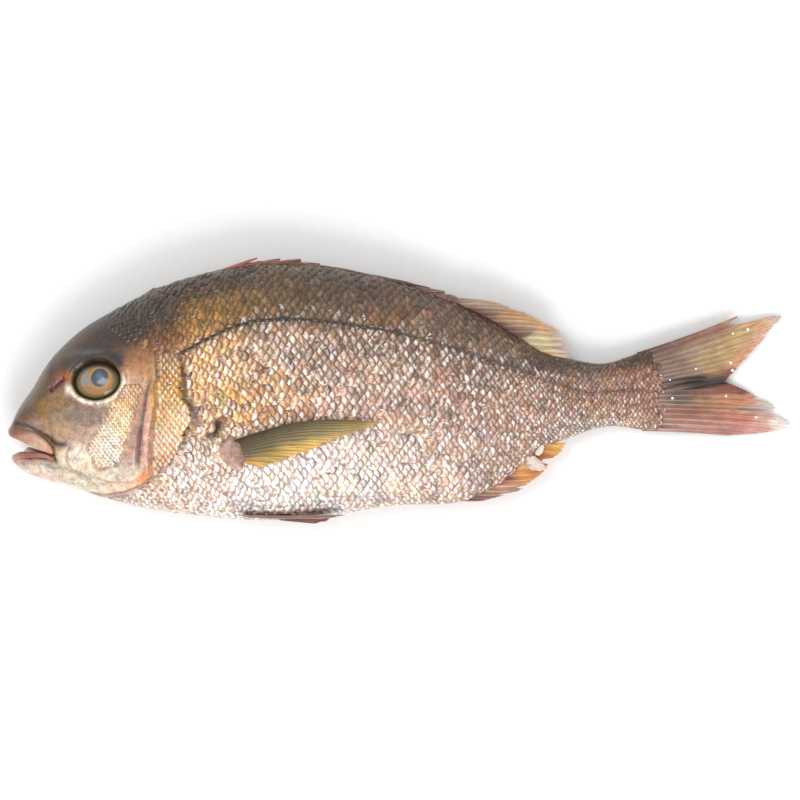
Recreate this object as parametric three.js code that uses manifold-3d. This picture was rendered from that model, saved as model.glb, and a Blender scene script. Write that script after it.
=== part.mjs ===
// A whole sea bream lying on its right side, as it lies on a slab: a deep, flattened body with the mouth
// a little open, two eyes, and seven fins folded back or spread. Millimetres, +Z up.
// The body is first laid out in its own frame: x from the snout towards the tail, y from the belly
// towards the back, z up, with the surface that it lies on at z = 0. The whole is centred at the end.
import * as THREE from "three";
import { mergeVertices } from "three/addons/utils/BufferGeometryUtils.js";
import Module from "manifold-3d";

// Body
const BODY_LENGTH = 246; // snout to the root of the tail fin
const BODY_DEPTH = 99; // back to belly at the deepest section
const BODY_THICKNESS = 40; // flank to flank at the thickest section
const NOSE_ROUND = 4; // length of the rounded nose
const FLATTENING = 2; // how far the lower flank is pressed flat by the body's weight

// Mouth
const MOUTH_LENGTH = 17.5; // lips to the corner of the mouth
const MOUTH_OPENING = 6.5; // gap between the lips in front
const MOUTH_CORNER = 1; // gap at the corner

// Eyes
const EYE_STATION = 35; // snout to the middle of the eye
const EYE_DIAMETER = 16.5;
const EYE_THICKNESS = 11;
const EYE_BULGE = 1.2; // how far the eye stands out of the cheek

// Gill covers
const GILL_SLIT_WIDTH = 1.2; // slit along a gill cover's free edge
const GILL_SLIT_DEPTH = 1.2;

// Fins
const FIT_GAP = 0.35; // between a fin or an eye and the body
const FIN_ROOT = 1.8; // thickness of a fin at its root
const FIN_EDGE = 0.7; // thickness of a fin at its free edge
const TAIL_LENGTH = 54; // root to the tips of the tail fin
const TAIL_FORK = 24; // depth of the notch between its lobes
const TAIL_SPREAD = 42; // tip to tip across the lobes
const TAIL_TIP_HEIGHT = 1.2; // height of the tips' middle above the surface
const SPINE_HEIGHT = 1.6; // folded spiny part of the back fin
const SPINE_STEP = 1.3; // how far each folded spine's tip stands over the next
const SPINE_COUNT = 11;
const SOFT_RAY_LENGTH = 15; // soft part of the back fin
const ANAL_RAY_LENGTH = 13;
const PECTORAL_LENGTH = 63;
const PECTORAL_ROOT = 14; // width at the root
const PECTORAL_TIP = 2.5; // width at the tip
const PECTORAL_BOW = 6; // how far the upper edge bows out
const PELVIC_LENGTH = 40;
const PELVIC_WIDTH = 8;
const PELVIC_ROOT = 3; // width at the root
const PELVIC_THICKNESS = 1.4; // at the root
const KEEL_GAP = 1.5; // between the two pelvic fins, over the keel of the belly

// A smooth curve y(x) through points in order of x: a cubic between each two, with the slope at a point
// taken from the points on either side of it.
function through(points) {
  const last = points.length - 1;
  const slopes = points.map((_, i) => {
    const [xa, ya] = points[Math.max(i - 1, 0)];
    const [xb, yb] = points[Math.min(i + 1, last)];
    return (yb - ya) / (xb - xa);
  });
  return (x) => {
    const i = Math.min(Math.max(points.findIndex((p) => p[0] > x) - 1, 0), last - 1);
    const k = x >= points[last][0] ? last - 1 : i;
    const width = points[k + 1][0] - points[k][0];
    const t = Math.min(Math.max((x - points[k][0]) / width, 0), 1);
    return (
      points[k][1] * (1 + 2 * t) * (1 - t) ** 2 +
      points[k + 1][1] * (3 - 2 * t) * t ** 2 +
      width * t * (1 - t) * (slopes[k] * (1 - t) - slopes[k + 1] * t)
    );
  };
}

// The body's outlines: station in percent of its length, then height in percent of its depth.
const backPercent = through([
  [0, 4], [2, 12], [4, 18], [6, 25], [8.5, 32.5], [12, 39], [17, 45], [24, 53], [32, 58], [40, 60],
  [49, 58.5], [57, 53.5], [65, 47], [74.5, 35.5], [80.5, 25], [84.5, 18.5], [88, 15.5], [93.5, 12.5],
  [100, 16.5],
]);
const bellyPercent = through([
  [0, -10], [2, -13.5], [5, -17.5], [9, -20.5], [14, -26], [20, -31], [28, -35.5], [40, -39.5], [50, -39],
  [59, -37], [67, -38], [71, -37], [76, -31.5], [80, -24], [83, -19], [87, -16], [91, -13], [94, -12.5],
  [100, -15.5],
]);
// Half the thickness and the height of the middle plane, in percent of half the greatest thickness.
const thicknessPercent = through([
  [0, 27], [4, 46], [8, 61], [13, 75], [20, 87], [28, 96], [38, 100], [49, 96], [61, 81], [73, 60], [84, 41],
  [93, 27], [100, 14],
]);
const middlePercent = through([[0, 72], [18, 84], [38, 90], [61, 82], [81, 58], [100, 34]]);

const percentOfLength = (x) => (100 * x) / BODY_LENGTH;
const halfThickness = BODY_THICKNESS / 2;
const back = (x) => (backPercent(percentOfLength(x)) * BODY_DEPTH) / 100;
const belly = (x) => (bellyPercent(percentOfLength(x)) * BODY_DEPTH) / 100;
const halfWidth = (x) => (thicknessPercent(percentOfLength(x)) * halfThickness) / 100;
const middleRise = (halfThickness - FLATTENING) / middlePercent(38);
const middle = (x) => middlePercent(percentOfLength(x)) * middleRise;

// The nose is rounded as an ellipse is: the section grows from nothing at the tip to its full size.
const noseShare = (x) => (x < NOSE_ROUND ? Math.sqrt(1 - (1 - Math.max(x, 0) / NOSE_ROUND) ** 2) : 1);

// A point of the free skin. The angle goes round the section: 0 at the back, half a turn at the belly,
// over the upper flank, and the rest over the lower flank. The section is an ellipse pinched at the back.
function freeSkin(x, angle) {
  const top = back(x);
  const bottom = belly(x);
  const share = noseShare(x);
  const pinch = 1.25 - 0.1 * (1 - Math.cos(angle));
  const across = Math.sign(Math.sin(angle)) * Math.abs(Math.sin(angle)) ** pinch;
  return new THREE.Vector3(
    x,
    (top + bottom) / 2 + (share * Math.cos(angle) * (top - bottom)) / 2,
    middle(x) + share * across * halfWidth(x),
  );
}

// A point of the skin lifted off it along its normal, or sunk into it where the lift is negative.
function skin(x, angle, lift = 0) {
  const step = 0.02;
  const point = freeSkin(x, angle);
  const along = freeSkin(x + 0.5, angle).sub(freeSkin(x - 0.5, angle));
  const around = freeSkin(x, angle + step).sub(freeSkin(x, angle - step));
  const normal = around.cross(along).normalize();
  point.addScaledVector(normal, lift);
  return point;
}

// The angle at which a height y is met on a flank: side is 1 for the upper flank and -1 for the lower.
function angleAt(side, x, y) {
  const centre = (back(x) + belly(x)) / 2;
  const half = (back(x) - belly(x)) / 2;
  const turn = Math.acos(Math.min(Math.max((y - centre) / half, -1), 1));
  return side > 0 ? turn : 2 * Math.PI - turn;
}

// A closed shell of rings of points, the first and last rings closed by a fan round a given point.
function shellOfRings(rings, firstPoint, lastPoint) {
  const count = rings[0].length;
  const positions = [...rings.flat(), firstPoint, lastPoint].flatMap((p) => [p.x, p.y, p.z]);
  const first = rings.length * count;
  const index = [];
  for (let i = 0; i < count; i++) {
    const next = (i + 1) % count;
    index.push(first, next, i);
    const end = (rings.length - 1) * count;
    index.push(first + 1, end + i, end + next);
    for (let r = 0; r < rings.length - 1; r++) {
      const a = r * count;
      const b = a + count;
      index.push(a + i, a + next, b + i, a + next, b + next, b + i);
    }
  }
  return geometryOf(positions, index);
}

// A closed plate between two grids of points, outer(u, v) and inner(u, v) for u and v from 0 to 1.
function plate(outer, inner, columns, rows) {
  const positions = [];
  for (const face of [outer, inner])
    for (let j = 0; j <= rows; j++)
      for (let i = 0; i <= columns; i++) {
        const p = face(i / columns, j / rows);
        positions.push(p.x, p.y, p.z);
      }
  const at = (side, i, j) => (side * (rows + 1) + j) * (columns + 1) + i;
  const index = [];
  const quad = (a, b, c, d) => index.push(a, b, c, a, c, d);
  for (let j = 0; j < rows; j++)
    for (let i = 0; i < columns; i++) {
      quad(at(0, i, j), at(0, i + 1, j), at(0, i + 1, j + 1), at(0, i, j + 1));
      quad(at(1, i, j), at(1, i, j + 1), at(1, i + 1, j + 1), at(1, i + 1, j));
    }
  for (let i = 0; i < columns; i++) {
    quad(at(0, i, 0), at(1, i, 0), at(1, i + 1, 0), at(0, i + 1, 0));
    quad(at(0, i, rows), at(0, i + 1, rows), at(1, i + 1, rows), at(1, i, rows));
  }
  for (let j = 0; j < rows; j++) {
    quad(at(0, 0, j), at(0, 0, j + 1), at(1, 0, j + 1), at(1, 0, j));
    quad(at(0, columns, j), at(1, columns, j), at(1, columns, j + 1), at(0, columns, j + 1));
  }
  return geometryOf(positions, index);
}

function geometryOf(positions, index) {
  const geometry = new THREE.BufferGeometry();
  geometry.setAttribute("position", new THREE.Float32BufferAttribute(positions, 3));
  geometry.setIndex(index);
  return geometry;
}

const wasm = await Module();
wasm.setup();

// A closed geometry as a solid that can be cut, turned the right way out.
function solidOf(geometry) {
  const bare = geometry.clone();
  bare.deleteAttribute("normal");
  bare.deleteAttribute("uv");
  const merged = mergeVertices(bare, 1e-4);
  const vertProperties = merged.attributes.position.array;
  const triVerts = new Uint32Array(merged.index.array);
  return new wasm.Manifold(new wasm.Mesh({ numProp: 3, vertProperties, triVerts }));
}

function geometryOfSolid(solid) {
  const mesh = solid.getMesh();
  return geometryOf(Array.from(mesh.vertProperties), Array.from(mesh.triVerts));
}

// Body: rings that crowd towards the nose, then the mouth, sockets and fin bed are cut out.
function bodyShell() {
  const stations = 54;
  const around = 34;
  const rings = [];
  for (let i = 1; i <= stations; i++) {
    const x = BODY_LENGTH * (i / stations) ** 1.35;
    rings.push(Array.from({ length: around }, (_, k) => freeSkin(x, (2 * Math.PI * k) / around)));
  }
  const tip = freeSkin(0, 0);
  const height = (back(BODY_LENGTH) + belly(BODY_LENGTH)) / 2;
  const end = new THREE.Vector3(BODY_LENGTH, height, middle(BODY_LENGTH));
  return shellOfRings(rings, tip, end);
}

// The open mouth: a wedge right across the snout, from the lips back to the corners.
function mouthWedge() {
  const front = (back(0) + belly(0)) / 2;
  const corner = back(MOUTH_LENGTH) + 0.79 * (belly(MOUTH_LENGTH) - back(MOUTH_LENGTH));
  const reach = 3;
  const slope = (front - corner) / MOUTH_LENGTH;
  const ahead = front + slope * reach;
  const wedge = new THREE.Shape();
  wedge.moveTo(-reach, ahead + MOUTH_OPENING / 2);
  wedge.lineTo(-reach, ahead - MOUTH_OPENING / 2);
  wedge.lineTo(MOUTH_LENGTH, corner - MOUTH_CORNER / 2);
  wedge.absarc(MOUTH_LENGTH, corner, MOUTH_CORNER / 2, -Math.PI / 2, Math.PI / 2, false);
  wedge.closePath();
  const across = { depth: 2 * BODY_THICKNESS, bevelEnabled: false, curveSegments: 4 };
  return new THREE.ExtrudeGeometry(wedge, across).translate(0, 0, -BODY_THICKNESS / 2);
}

// Eye: a flattened ball set square to the cheek, a third of the way down from the back.
function eyePose(side) {
  const y = back(EYE_STATION) + 0.33 * (belly(EYE_STATION) - back(EYE_STATION));
  const angle = angleAt(side, EYE_STATION, y);
  const outside = skin(EYE_STATION, angle, EYE_BULGE);
  const normal = outside.clone().sub(skin(EYE_STATION, angle)).normalize();
  const centre = outside.addScaledVector(normal, -EYE_THICKNESS / 2);
  return { centre, turn: new THREE.Quaternion().setFromUnitVectors(new THREE.Vector3(0, 0, 1), normal) };
}

function eyeBall(clearance) {
  const radius = EYE_DIAMETER / 2 + clearance;
  const ball = new THREE.SphereGeometry(radius, 22, 12);
  return ball.scale(1, 1, (EYE_THICKNESS / 2 + clearance) / radius);
}

function eyeSocket(side) {
  const { centre, turn } = eyePose(side);
  return eyeBall(FIT_GAP).applyQuaternion(turn).translate(centre.x, centre.y, centre.z);
}

// The slit behind a gill cover: a narrow band that follows the skin down from behind the eye, round the
// rear of the cover and forwards under the cheek, cut from just outside the skin to its depth.
function gillSlit(side) {
  const station = through([[0, 27.5], [0.25, 28.8], [0.5, 28.8], [0.75, 24.5], [1, 15.5]]);
  const height = through([[0, 25], [0.25, 11], [0.5, -3], [0.75, -15.5], [1, -24]]);
  const spot = (u, v, lift) => {
    const x = (station(u) * BODY_LENGTH) / 100;
    const y = (height(u) * BODY_DEPTH) / 100;
    const bearing = Math.atan2(height(u + 0.02) - height(u - 0.02), station(u + 0.02) - station(u - 0.02));
    const offset = (v - 0.5) * GILL_SLIT_WIDTH;
    const px = x - offset * Math.sin(bearing);
    const py = y + offset * Math.cos(bearing);
    return skin(px, angleAt(side, px, py), lift);
  };
  const outer = (u, v) => spot(u, v, GILL_SLIT_WIDTH);
  const inner = (u, v) => spot(u, v, -GILL_SLIT_DEPTH);
  return side > 0 ? plate(outer, inner, 16, 1) : plate(inner, outer, 16, 1);
}

// Pectoral fin: a blade that lies along the flank from behind the gill cover, narrowing to its tip.
// With a clearance it is the bed that the fin is pressed into where the body lies on it.
function pectoral(side, clearance = 0) {
  const x0 = 0.35 * BODY_LENGTH;
  const root = back(x0) + 0.665 * (belly(x0) - back(x0));
  const tip = root - 0.5 * PECTORAL_TIP;
  const openBelow = clearance > 0 ? 1 : 0; // the bed reaches out past the surface
  const thickness = (v) => FIN_ROOT + (FIN_EDGE - FIN_ROOT) * v;
  const spot = (u, v, lift) => {
    const x = x0 - clearance + (PECTORAL_LENGTH + 2 * clearance) * v + 2 * u * (1 - v);
    const upper = root + (tip + PECTORAL_TIP - root) * v + 4 * PECTORAL_BOW * v * (1 - v) + clearance;
    const lower = root - PECTORAL_ROOT + (tip - root + PECTORAL_ROOT) * v - clearance;
    return skin(x, angleAt(side, x, upper + (lower - upper) * u), lift);
  };
  // Where the fin would reach below the surface it is pushed up into the flank.
  const raised = (u, v) => Math.max(0, -spot(u, v, FIT_GAP + thickness(v)).z);
  const face = (u, v, inner) => {
    const point = spot(u, v, FIT_GAP + (inner ? -clearance : thickness(v) + clearance));
    point.z += raised(u, v) - (inner ? 0 : openBelow);
    return point;
  };
  const outer = (u, v) => face(u, v, false);
  const inner = (u, v) => face(u, v, true);
  return side > 0 ? plate(outer, inner, 5, 11) : plate(inner, outer, 5, 11);
}

// Pelvic fin: a narrow blade folded back along the keel of the belly.
function pelvic(side) {
  const x0 = 0.36 * BODY_LENGTH;
  const spot = (u, v, lift) => {
    const x = x0 + PELVIC_LENGTH * v;
    const width = PELVIC_ROOT + (PELVIC_WIDTH - PELVIC_ROOT) * Math.sin(0.75 * Math.PI * v);
    const out = KEEL_GAP / 2 + u * width;
    const angle = Math.asin(Math.min(out / halfWidth(x), 0.9));
    return skin(x, Math.PI - side * angle, lift);
  };
  const thickness = (v) => PELVIC_THICKNESS + (FIN_EDGE - PELVIC_THICKNESS) * v;
  const outer = (u, v) => spot(u, v, FIT_GAP + thickness(v));
  const inner = (u, v) => spot(u, v, FIT_GAP);
  return side > 0 ? plate(inner, outer, 3, 10) : plate(outer, inner, 3, 10);
}

// A fin on the middle plane. The root runs along an edge of the body between two stations, and the rays
// lean back from it by the lean angle; reach(u) is their length. sign is 1 on the back, -1 on the belly.
function medianFin(edge, sign, from, to, reach, lean, columns, rows) {
  const spot = (u, v, up) => {
    const x = from + (to - from) * u;
    const slope = Math.atan2(edge(x + 1) - edge(x - 1), 2);
    const direction = slope + sign * lean(u);
    const out = reach(u) * v;
    const px = x + out * Math.cos(direction) - FIT_GAP * Math.sin(slope) * sign;
    const py = edge(x) + out * Math.sin(direction) + FIT_GAP * Math.cos(slope) * sign;
    const half = (FIN_ROOT + (FIN_EDGE - FIN_ROOT) * v) / 2;
    return new THREE.Vector3(px, py, middle(x) + (up ? half : -half));
  };
  const top = (u, v) => spot(u, v, true);
  const under = (u, v) => spot(u, v, false);
  return sign > 0 ? plate(top, under, columns, rows) : plate(under, top, columns, rows);
}

// Back fin: folded spines that step down one over the next, then the soft rays, which stand up.
function dorsalFin() {
  const softFrom = 0.6;
  const reach = (u) => {
    if (u < softFrom) {
      const step = (u / softFrom) * SPINE_COUNT;
      return SPINE_HEIGHT + SPINE_STEP * (step - Math.floor(step));
    }
    const soft = (u - softFrom) / (1 - softFrom);
    return SPINE_HEIGHT + (SOFT_RAY_LENGTH - SPINE_HEIGHT) * Math.sin((Math.PI / 2) * soft) ** 1.5;
  };
  const lean = (u) => (u < softFrom ? Math.PI / 2 : Math.PI / 2 - (u - softFrom) * 1.6);
  const from = 0.35 * BODY_LENGTH;
  const to = 0.835 * BODY_LENGTH;
  return medianFin(back, 1, from, to, reach, lean, 72, 2);
}

// Anal fin: folded back along the belly's rise to the tail.
function analFin() {
  const reach = (u) => ANAL_RAY_LENGTH * (0.15 + 0.85 * Math.sin(Math.PI * (0.1 + 0.8 * u)) ** 0.8);
  const from = 0.69 * BODY_LENGTH;
  const to = 0.835 * BODY_LENGTH;
  return medianFin(belly, -1, from, to, reach, () => 0.5, 18, 3);
}

// Tail fin: rays fan out from the end of the body to a forked edge, and droop towards the surface.
function tailFin() {
  const root = BODY_LENGTH + FIT_GAP;
  const top = back(BODY_LENGTH) - 0.4;
  const bottom = belly(BODY_LENGTH) + 0.4;
  const tipMiddle = (top + bottom) / 2 + 4;
  const edgeReach = through([[0, 0.94], [0.04, 0.99], [0.5, 0], [0.86, 0.72], [0.97, 1], [1, 0.93]]);
  const across = through([[0, 0.5], [0.5, -0.05], [0.8, -0.25], [1, -0.5]]);
  const lowest = FIN_EDGE / 2 + 0.05;
  const spot = (u, v, up) => {
    const end = root + TAIL_LENGTH - TAIL_FORK * (1 - edgeReach(u));
    const x = root + (end - root) * v;
    const y0 = top + (bottom - top) * u;
    const y1 = tipMiddle + across(u) * TAIL_SPREAD;
    const y = y0 + (y1 - y0) * (0.85 * v + 0.15 * v * v);
    const fall = (x - root) / TAIL_LENGTH;
    const rest = Math.max(TAIL_TIP_HEIGHT, lowest);
    const z = rest + (middle(BODY_LENGTH) - rest) * (1 - fall) ** 1.6;
    const half = (FIN_ROOT + (FIN_EDGE - FIN_ROOT) * Math.sqrt(v)) / 2;
    return new THREE.Vector3(x, y, z + (up ? half : -half));
  };
  const upper = (u, v) => spot(u, v, true);
  const lower = (u, v) => spot(u, v, false);
  return plate(upper, lower, 22, 6);
}

function bodyGeometry() {
  const size = 2 * (BODY_LENGTH + BODY_DEPTH);
  const slab = new THREE.BoxGeometry(size, size, size).translate(0, 0, -size / 2);
  const sockets = [eyeSocket(1), eyeSocket(-1)];
  const slits = [gillSlit(1), gillSlit(-1)];
  const cuts = [slab, mouthWedge(), ...sockets, ...slits, pectoral(-1, FIT_GAP)];
  return geometryOfSolid(cuts.reduce((solid, cut) => solid.subtract(solidOf(cut)), solidOf(bodyShell())));
}

const SKIN = { color: 0xb09078, roughness: 0.38, metalness: 0.15 };
const EYE = { color: 0x5a6270, roughness: 0.12, metalness: 0 };
const RED_FIN = { color: 0xb98062, roughness: 0.45, metalness: 0 };
const OLIVE_FIN = { color: 0x94803f, roughness: 0.45, metalness: 0 };

function named(name, geometry, look) {
  const mesh = new THREE.Mesh(geometry, new THREE.MeshStandardMaterial(look));
  mesh.name = name;
  return mesh;
}

function eye(name, side) {
  const { centre, turn } = eyePose(side);
  const mesh = named(name, eyeBall(0), EYE);
  mesh.position.copy(centre);
  mesh.quaternion.copy(turn);
  return mesh;
}

const fish = new THREE.Group();
fish.add(
  named("body", bodyGeometry(), SKIN),
  eye("left_eye", 1),
  eye("right_eye", -1),
  named("dorsal_fin", dorsalFin(), RED_FIN),
  named("anal_fin", analFin(), RED_FIN),
  named("tail_fin", tailFin(), RED_FIN),
  named("left_pectoral_fin", pectoral(1), OLIVE_FIN),
  named("right_pectoral_fin", pectoral(-1), OLIVE_FIN),
  named("left_pelvic_fin", pelvic(1), RED_FIN),
  named("right_pelvic_fin", pelvic(-1), RED_FIN),
);

// The origin is the middle of the fish's box, on the surface that it lies on.
const box = new THREE.Box3().setFromObject(fish, true);
const centre = box.getCenter(new THREE.Vector3());
fish.position.set(-centre.x, -centre.y, -box.min.z);

const part = new THREE.Group();
part.add(fish);
export default part;
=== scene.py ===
"""A whole raw sea bream lying on its right side on a pale slab. Shapes are worked out in the fish's own
millimetres: x from the snout towards the tail, y from the belly towards the back, z up from the slab."""

import bpy
import numpy as np
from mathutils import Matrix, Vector


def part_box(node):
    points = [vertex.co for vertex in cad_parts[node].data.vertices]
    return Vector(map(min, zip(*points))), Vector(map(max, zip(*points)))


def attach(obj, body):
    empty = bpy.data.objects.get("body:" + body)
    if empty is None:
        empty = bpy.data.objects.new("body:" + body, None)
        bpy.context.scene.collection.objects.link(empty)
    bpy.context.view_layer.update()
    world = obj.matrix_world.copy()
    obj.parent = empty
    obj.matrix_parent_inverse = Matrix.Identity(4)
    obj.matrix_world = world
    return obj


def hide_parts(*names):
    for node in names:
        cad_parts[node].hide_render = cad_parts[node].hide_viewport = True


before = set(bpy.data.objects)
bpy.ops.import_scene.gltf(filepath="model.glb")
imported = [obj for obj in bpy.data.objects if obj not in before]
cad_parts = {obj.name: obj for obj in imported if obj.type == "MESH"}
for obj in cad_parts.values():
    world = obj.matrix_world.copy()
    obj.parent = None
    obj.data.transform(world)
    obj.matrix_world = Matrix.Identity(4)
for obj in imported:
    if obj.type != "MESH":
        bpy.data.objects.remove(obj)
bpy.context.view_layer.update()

# --- The form of the body ---------------------------------------------------------------------------
# A bream is deep and flat from side to side, with a steep forehead and a narrow root to its tail.
# Its weight presses the lower flank flat on the slab, and the thin tail end sinks towards it.

BODY_LENGTH = 246  # snout to the root of the tail fin
NOSE_ROUND = 4
PRESSED = 0.3  # height of the pressed flank over the slab
BACK = [
    (0, 4), (5, 11.6), (10, 17.7), (15, 25), (20, 31), (30, 39), (40, 44.3), (60, 52.7), (80, 57.6),
    (100, 59.6), (120, 58), (140, 53.2), (160, 46.6), (183, 35), (198, 24.6), (207, 18.4), (217, 15.2),
    (230, 12.6), (246, 16.3),
]
BELLY = [
    (0, -10), (5, -14), (12, -17), (22, -20.3), (34, -25.6), (50, -30.8), (70, -34.8), (90, -38.2),
    (120, -38.6), (145, -36.5), (165, -37.4), (174, -36.4), (187, -31), (197, -23.6), (204, -18.8),
    (214, -15.8), (224, -12.9), (232, -12.4), (246, -15.2),
]
# Half the thickness along the body, and the height of its middle plane, in millimetres.
HALF_WIDTH = [
    (0, 5.4), (10, 9.2), (20, 12.2), (32, 15), (49, 17.4), (69, 19.2), (93, 20), (120, 19.2), (150, 16.2),
    (180, 12), (206, 8.2), (229, 5.4), (246, 2.9),
]
MIDDLE = [(0, 14.4), (44, 16.8), (93, 18), (150, 16.4), (199, 11.6), (246, 6.8)]


def step(value, low, high):
    """0 below low, 1 above high, and a smooth rise between."""
    t = np.clip((value - low) / (high - low), 0, 1)
    return t * t * (3 - 2 * t)


def through(points):
    """A smooth curve y(x) through points in order of x: a cubic between each two, with the slope at a
    point taken from the points on either side of it."""
    x, y = np.array(points, float).T
    before, after = np.r_[0, np.arange(len(x) - 1)], np.r_[np.arange(1, len(x)), len(x) - 1]
    slope = (y[after] - y[before]) / (x[after] - x[before])

    def value(at):
        k = np.clip(np.searchsorted(x, at, side="right") - 1, 0, len(x) - 2)
        width = x[k + 1] - x[k]
        t = np.clip((at - x[k]) / width, 0, 1)
        ends = y[k] * (1 + 2 * t) * (1 - t) ** 2 + y[k + 1] * (3 - 2 * t) * t**2
        return ends + width * t * (1 - t) * (slope[k] * (1 - t) - slope[k + 1] * t)

    return value


back, belly, half_width, middle = through(BACK), through(BELLY), through(HALF_WIDTH), through(MIDDLE)


def stacked(*parts):
    """Coordinates put together as points, each part spread over the whole grid."""
    return np.stack(np.broadcast_arrays(*parts), -1)


def section(x, angle, bottom=None):
    """Points of the flank. The angle goes round the section: 0 at the back, half a turn at the belly by
    way of the upper flank. The section is an ellipse pinched at the back, rounded at the nose and
    pressed flat underneath."""
    top, bottom = back(x), belly(x) if bottom is None else bottom
    nose = np.sqrt(np.clip(1 - (1 - np.clip(x / NOSE_ROUND, 0, 1)) ** 2, 0, 1))
    pinch = 1.25 - 0.1 * (1 - np.cos(angle))
    across = np.sign(np.sin(angle)) * np.abs(np.sin(angle)) ** pinch
    y = (top + bottom) / 2 + nose * np.cos(angle) * (top - bottom) / 2
    z = middle(x) + nose * across * half_width(x)
    pressed = (z + PRESSED + np.sqrt((z - PRESSED) ** 2 + 0.3)) / 2
    return stacked(x, y, pressed)


def lifted(x, angle, lift, bottom=None):
    """Points of the flank moved out along the surface's normal, found from two small steps."""
    step = 0.02
    point = section(x, angle, bottom)
    along = section(x + 0.4, angle, bottom) - section(x - 0.4, angle, bottom)
    around = section(x, angle + step, bottom) - section(x, angle - step, bottom)
    normal = np.cross(around, along)
    normal /= np.maximum(np.linalg.norm(normal, axis=-1, keepdims=True), 1e-9)
    return point + normal * np.asarray(lift)[..., None]


def angle_at(x, y, side=1):
    """The angle at which a flank has the height y, for side 1, the upper flank, or -1, the lower."""
    centre, half = (back(x) + belly(x)) / 2, (back(x) - belly(x)) / 2
    turn = np.arccos(np.clip((y - centre) / half, -1, 1))
    return turn if side > 0 else 2 * np.pi - turn


def on_flank(x, y, lift=0.0, side=1):
    """Points at x and y on a flank, lifted off the skin."""
    return lifted(x, angle_at(x, y, side), np.zeros_like(x) + lift)


def to_frame(points):
    """The fish's own millimetres turned to the frame's metres: the CAD body's box gives the place."""
    low = np.array(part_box("body")[0], float)
    keel = belly(np.linspace(0, BODY_LENGTH, 500)).min()
    return np.asarray(points, float) / 1000 + [low[0], low[1] - keel / 1000, 0]


SKIN_AIR = 0.3  # between the skin and what lies on it at the tail's root


def pinched(points):
    """The points with their heights drawn in to the middle over the last 9 mm, as the body thins to the
    root of the tail fin, and a little air left over the skin there."""
    x, z = points[..., 0], points[..., 2]
    thin = 0.25 + 0.75 * np.sqrt(step(x, BODY_LENGTH + 3, BODY_LENGTH - 6))
    from_core = z - middle(x)
    z = middle(x) + from_core * thin + SKIN_AIR * np.sign(from_core) * (1 - thin)
    return np.stack([x, points[..., 1], z], -1)


def grid_faces(rows, columns, round_columns=False):
    """Corner numbers of the quads of a grid of points, row by row, with the columns closed in a ring
    if asked."""
    last = columns if round_columns else columns - 1
    row, column = np.meshgrid(np.arange(rows - 1), np.arange(last), indexing="ij")
    a, b = row * columns + column, row * columns + (column + 1) % columns
    return np.stack([a, b, b + columns, a + columns], -1).reshape(-1, 4)


def ring_faces(rings, around, count=1, turned_out=False):
    """Faces of closed tubes of rings: the quads of each, then a cap for both its ends. The corners go
    round the other way if asked."""
    size, way = rings * around, -1 if turned_out else 1
    quads = grid_faces(rings, around, True)[None, :, ::way] + size * np.arange(count)[:, None, None]
    faces = quads.reshape(-1, 4).tolist()
    for first in range(0, count * size, size):
        start = list(range(first, first + around))
        end = list(range(first + size - around, first + size))
        faces += [start[::-way], end[::way]]
    return faces


SOFT = 0.4  # flesh over the slab in which what would sink through it is squeezed thin


def piece(name, points, faces, material, slot, node=(), paint=None, uv=None, floor=0.1, **values):
    """Makes one smooth mesh piece from points in the fish's millimetres, squeezed so that none is under
    the floor height given: heights less than the soft layer fall off exponentially. It gets its paint,
    as a colour for each point or as the places of colours, its values and its UV map, and the frame is
    told what it rides on and what it stands for."""
    over = points[..., 2] - floor
    eased = np.where(over < SOFT, SOFT * np.exp(np.minimum(over - SOFT, 0) / SOFT), over)
    points = np.stack([points[..., 0], points[..., 1], floor + eased], -1)
    mesh = bpy.data.meshes.new(name)
    faces = faces if isinstance(faces, list) else faces.tolist()
    mesh.from_pydata(to_frame(points.reshape(-1, 3)), [], faces)
    mesh.polygons.foreach_set("use_smooth", np.ones(len(mesh.polygons), bool))
    if isinstance(paint, list):
        paint = painted(points[..., 0], points[..., 1], paint)
    if paint is not None:
        layer = mesh.attributes.new("paint", "FLOAT_COLOR", "POINT")
        rgba = np.c_[paint.reshape(-1, 3), np.ones(paint.size // 3)]
        layer.data.foreach_set("color", rgba.ravel().astype(np.float32))
    for key, value in values.items():
        layer = mesh.attributes.new(key, "FLOAT", "POINT")
        layer.data.foreach_set("value", np.asarray(value, np.float32).ravel())
    if uv is not None:
        corner = np.empty(len(mesh.loops), np.int32)
        mesh.loops.foreach_get("vertex_index", corner)
        uv = uv.reshape(-1, 2)[corner].astype(np.float32)
        mesh.uv_layers.new(name="own").data.foreach_set("uv", uv.ravel())
    mesh.materials.append(material)
    made = bpy.data.objects.new(name, mesh)
    bpy.context.scene.collection.objects.link(made)
    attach(made, "root")
    if node:
        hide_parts(*([node] if isinstance(node, str) else node))
    return made


def srgb(text):
    """A hex colour as three shares of red, green and blue."""
    return np.array([int(text[i : i + 2], 16) for i in (1, 3, 5)]) / 255


def linear(share):
    """Display colours turned to linear ones."""
    share = np.asarray(share, float)
    return np.where(share <= 0.04045, share / 12.92, ((share + 0.055) / 1.055) ** 2.4)


PAINT_STRENGTH = 0.9  # of the colours as named, under this light
PAINT_RICHNESS = 1.14


def painted(x, y, places):
    """Skin colour at x and y: each place pulls with a bell of its own width and height, and the colour
    is the mean by those pulls."""
    total, weight = 0.0, 1e-12
    for px, py, wide, high, text in places:
        pull = np.exp(-(((x - px) / wide) ** 2) - ((y - py) / high) ** 2)[..., None]
        total, weight = total + pull * srgb(text), weight + pull
    colour = linear(total / weight)
    grey = colour.mean(-1, keepdims=True)
    return np.clip(PAINT_STRENGTH * (grey + PAINT_RICHNESS * (colour - grey)), 0.003, 1)


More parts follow.
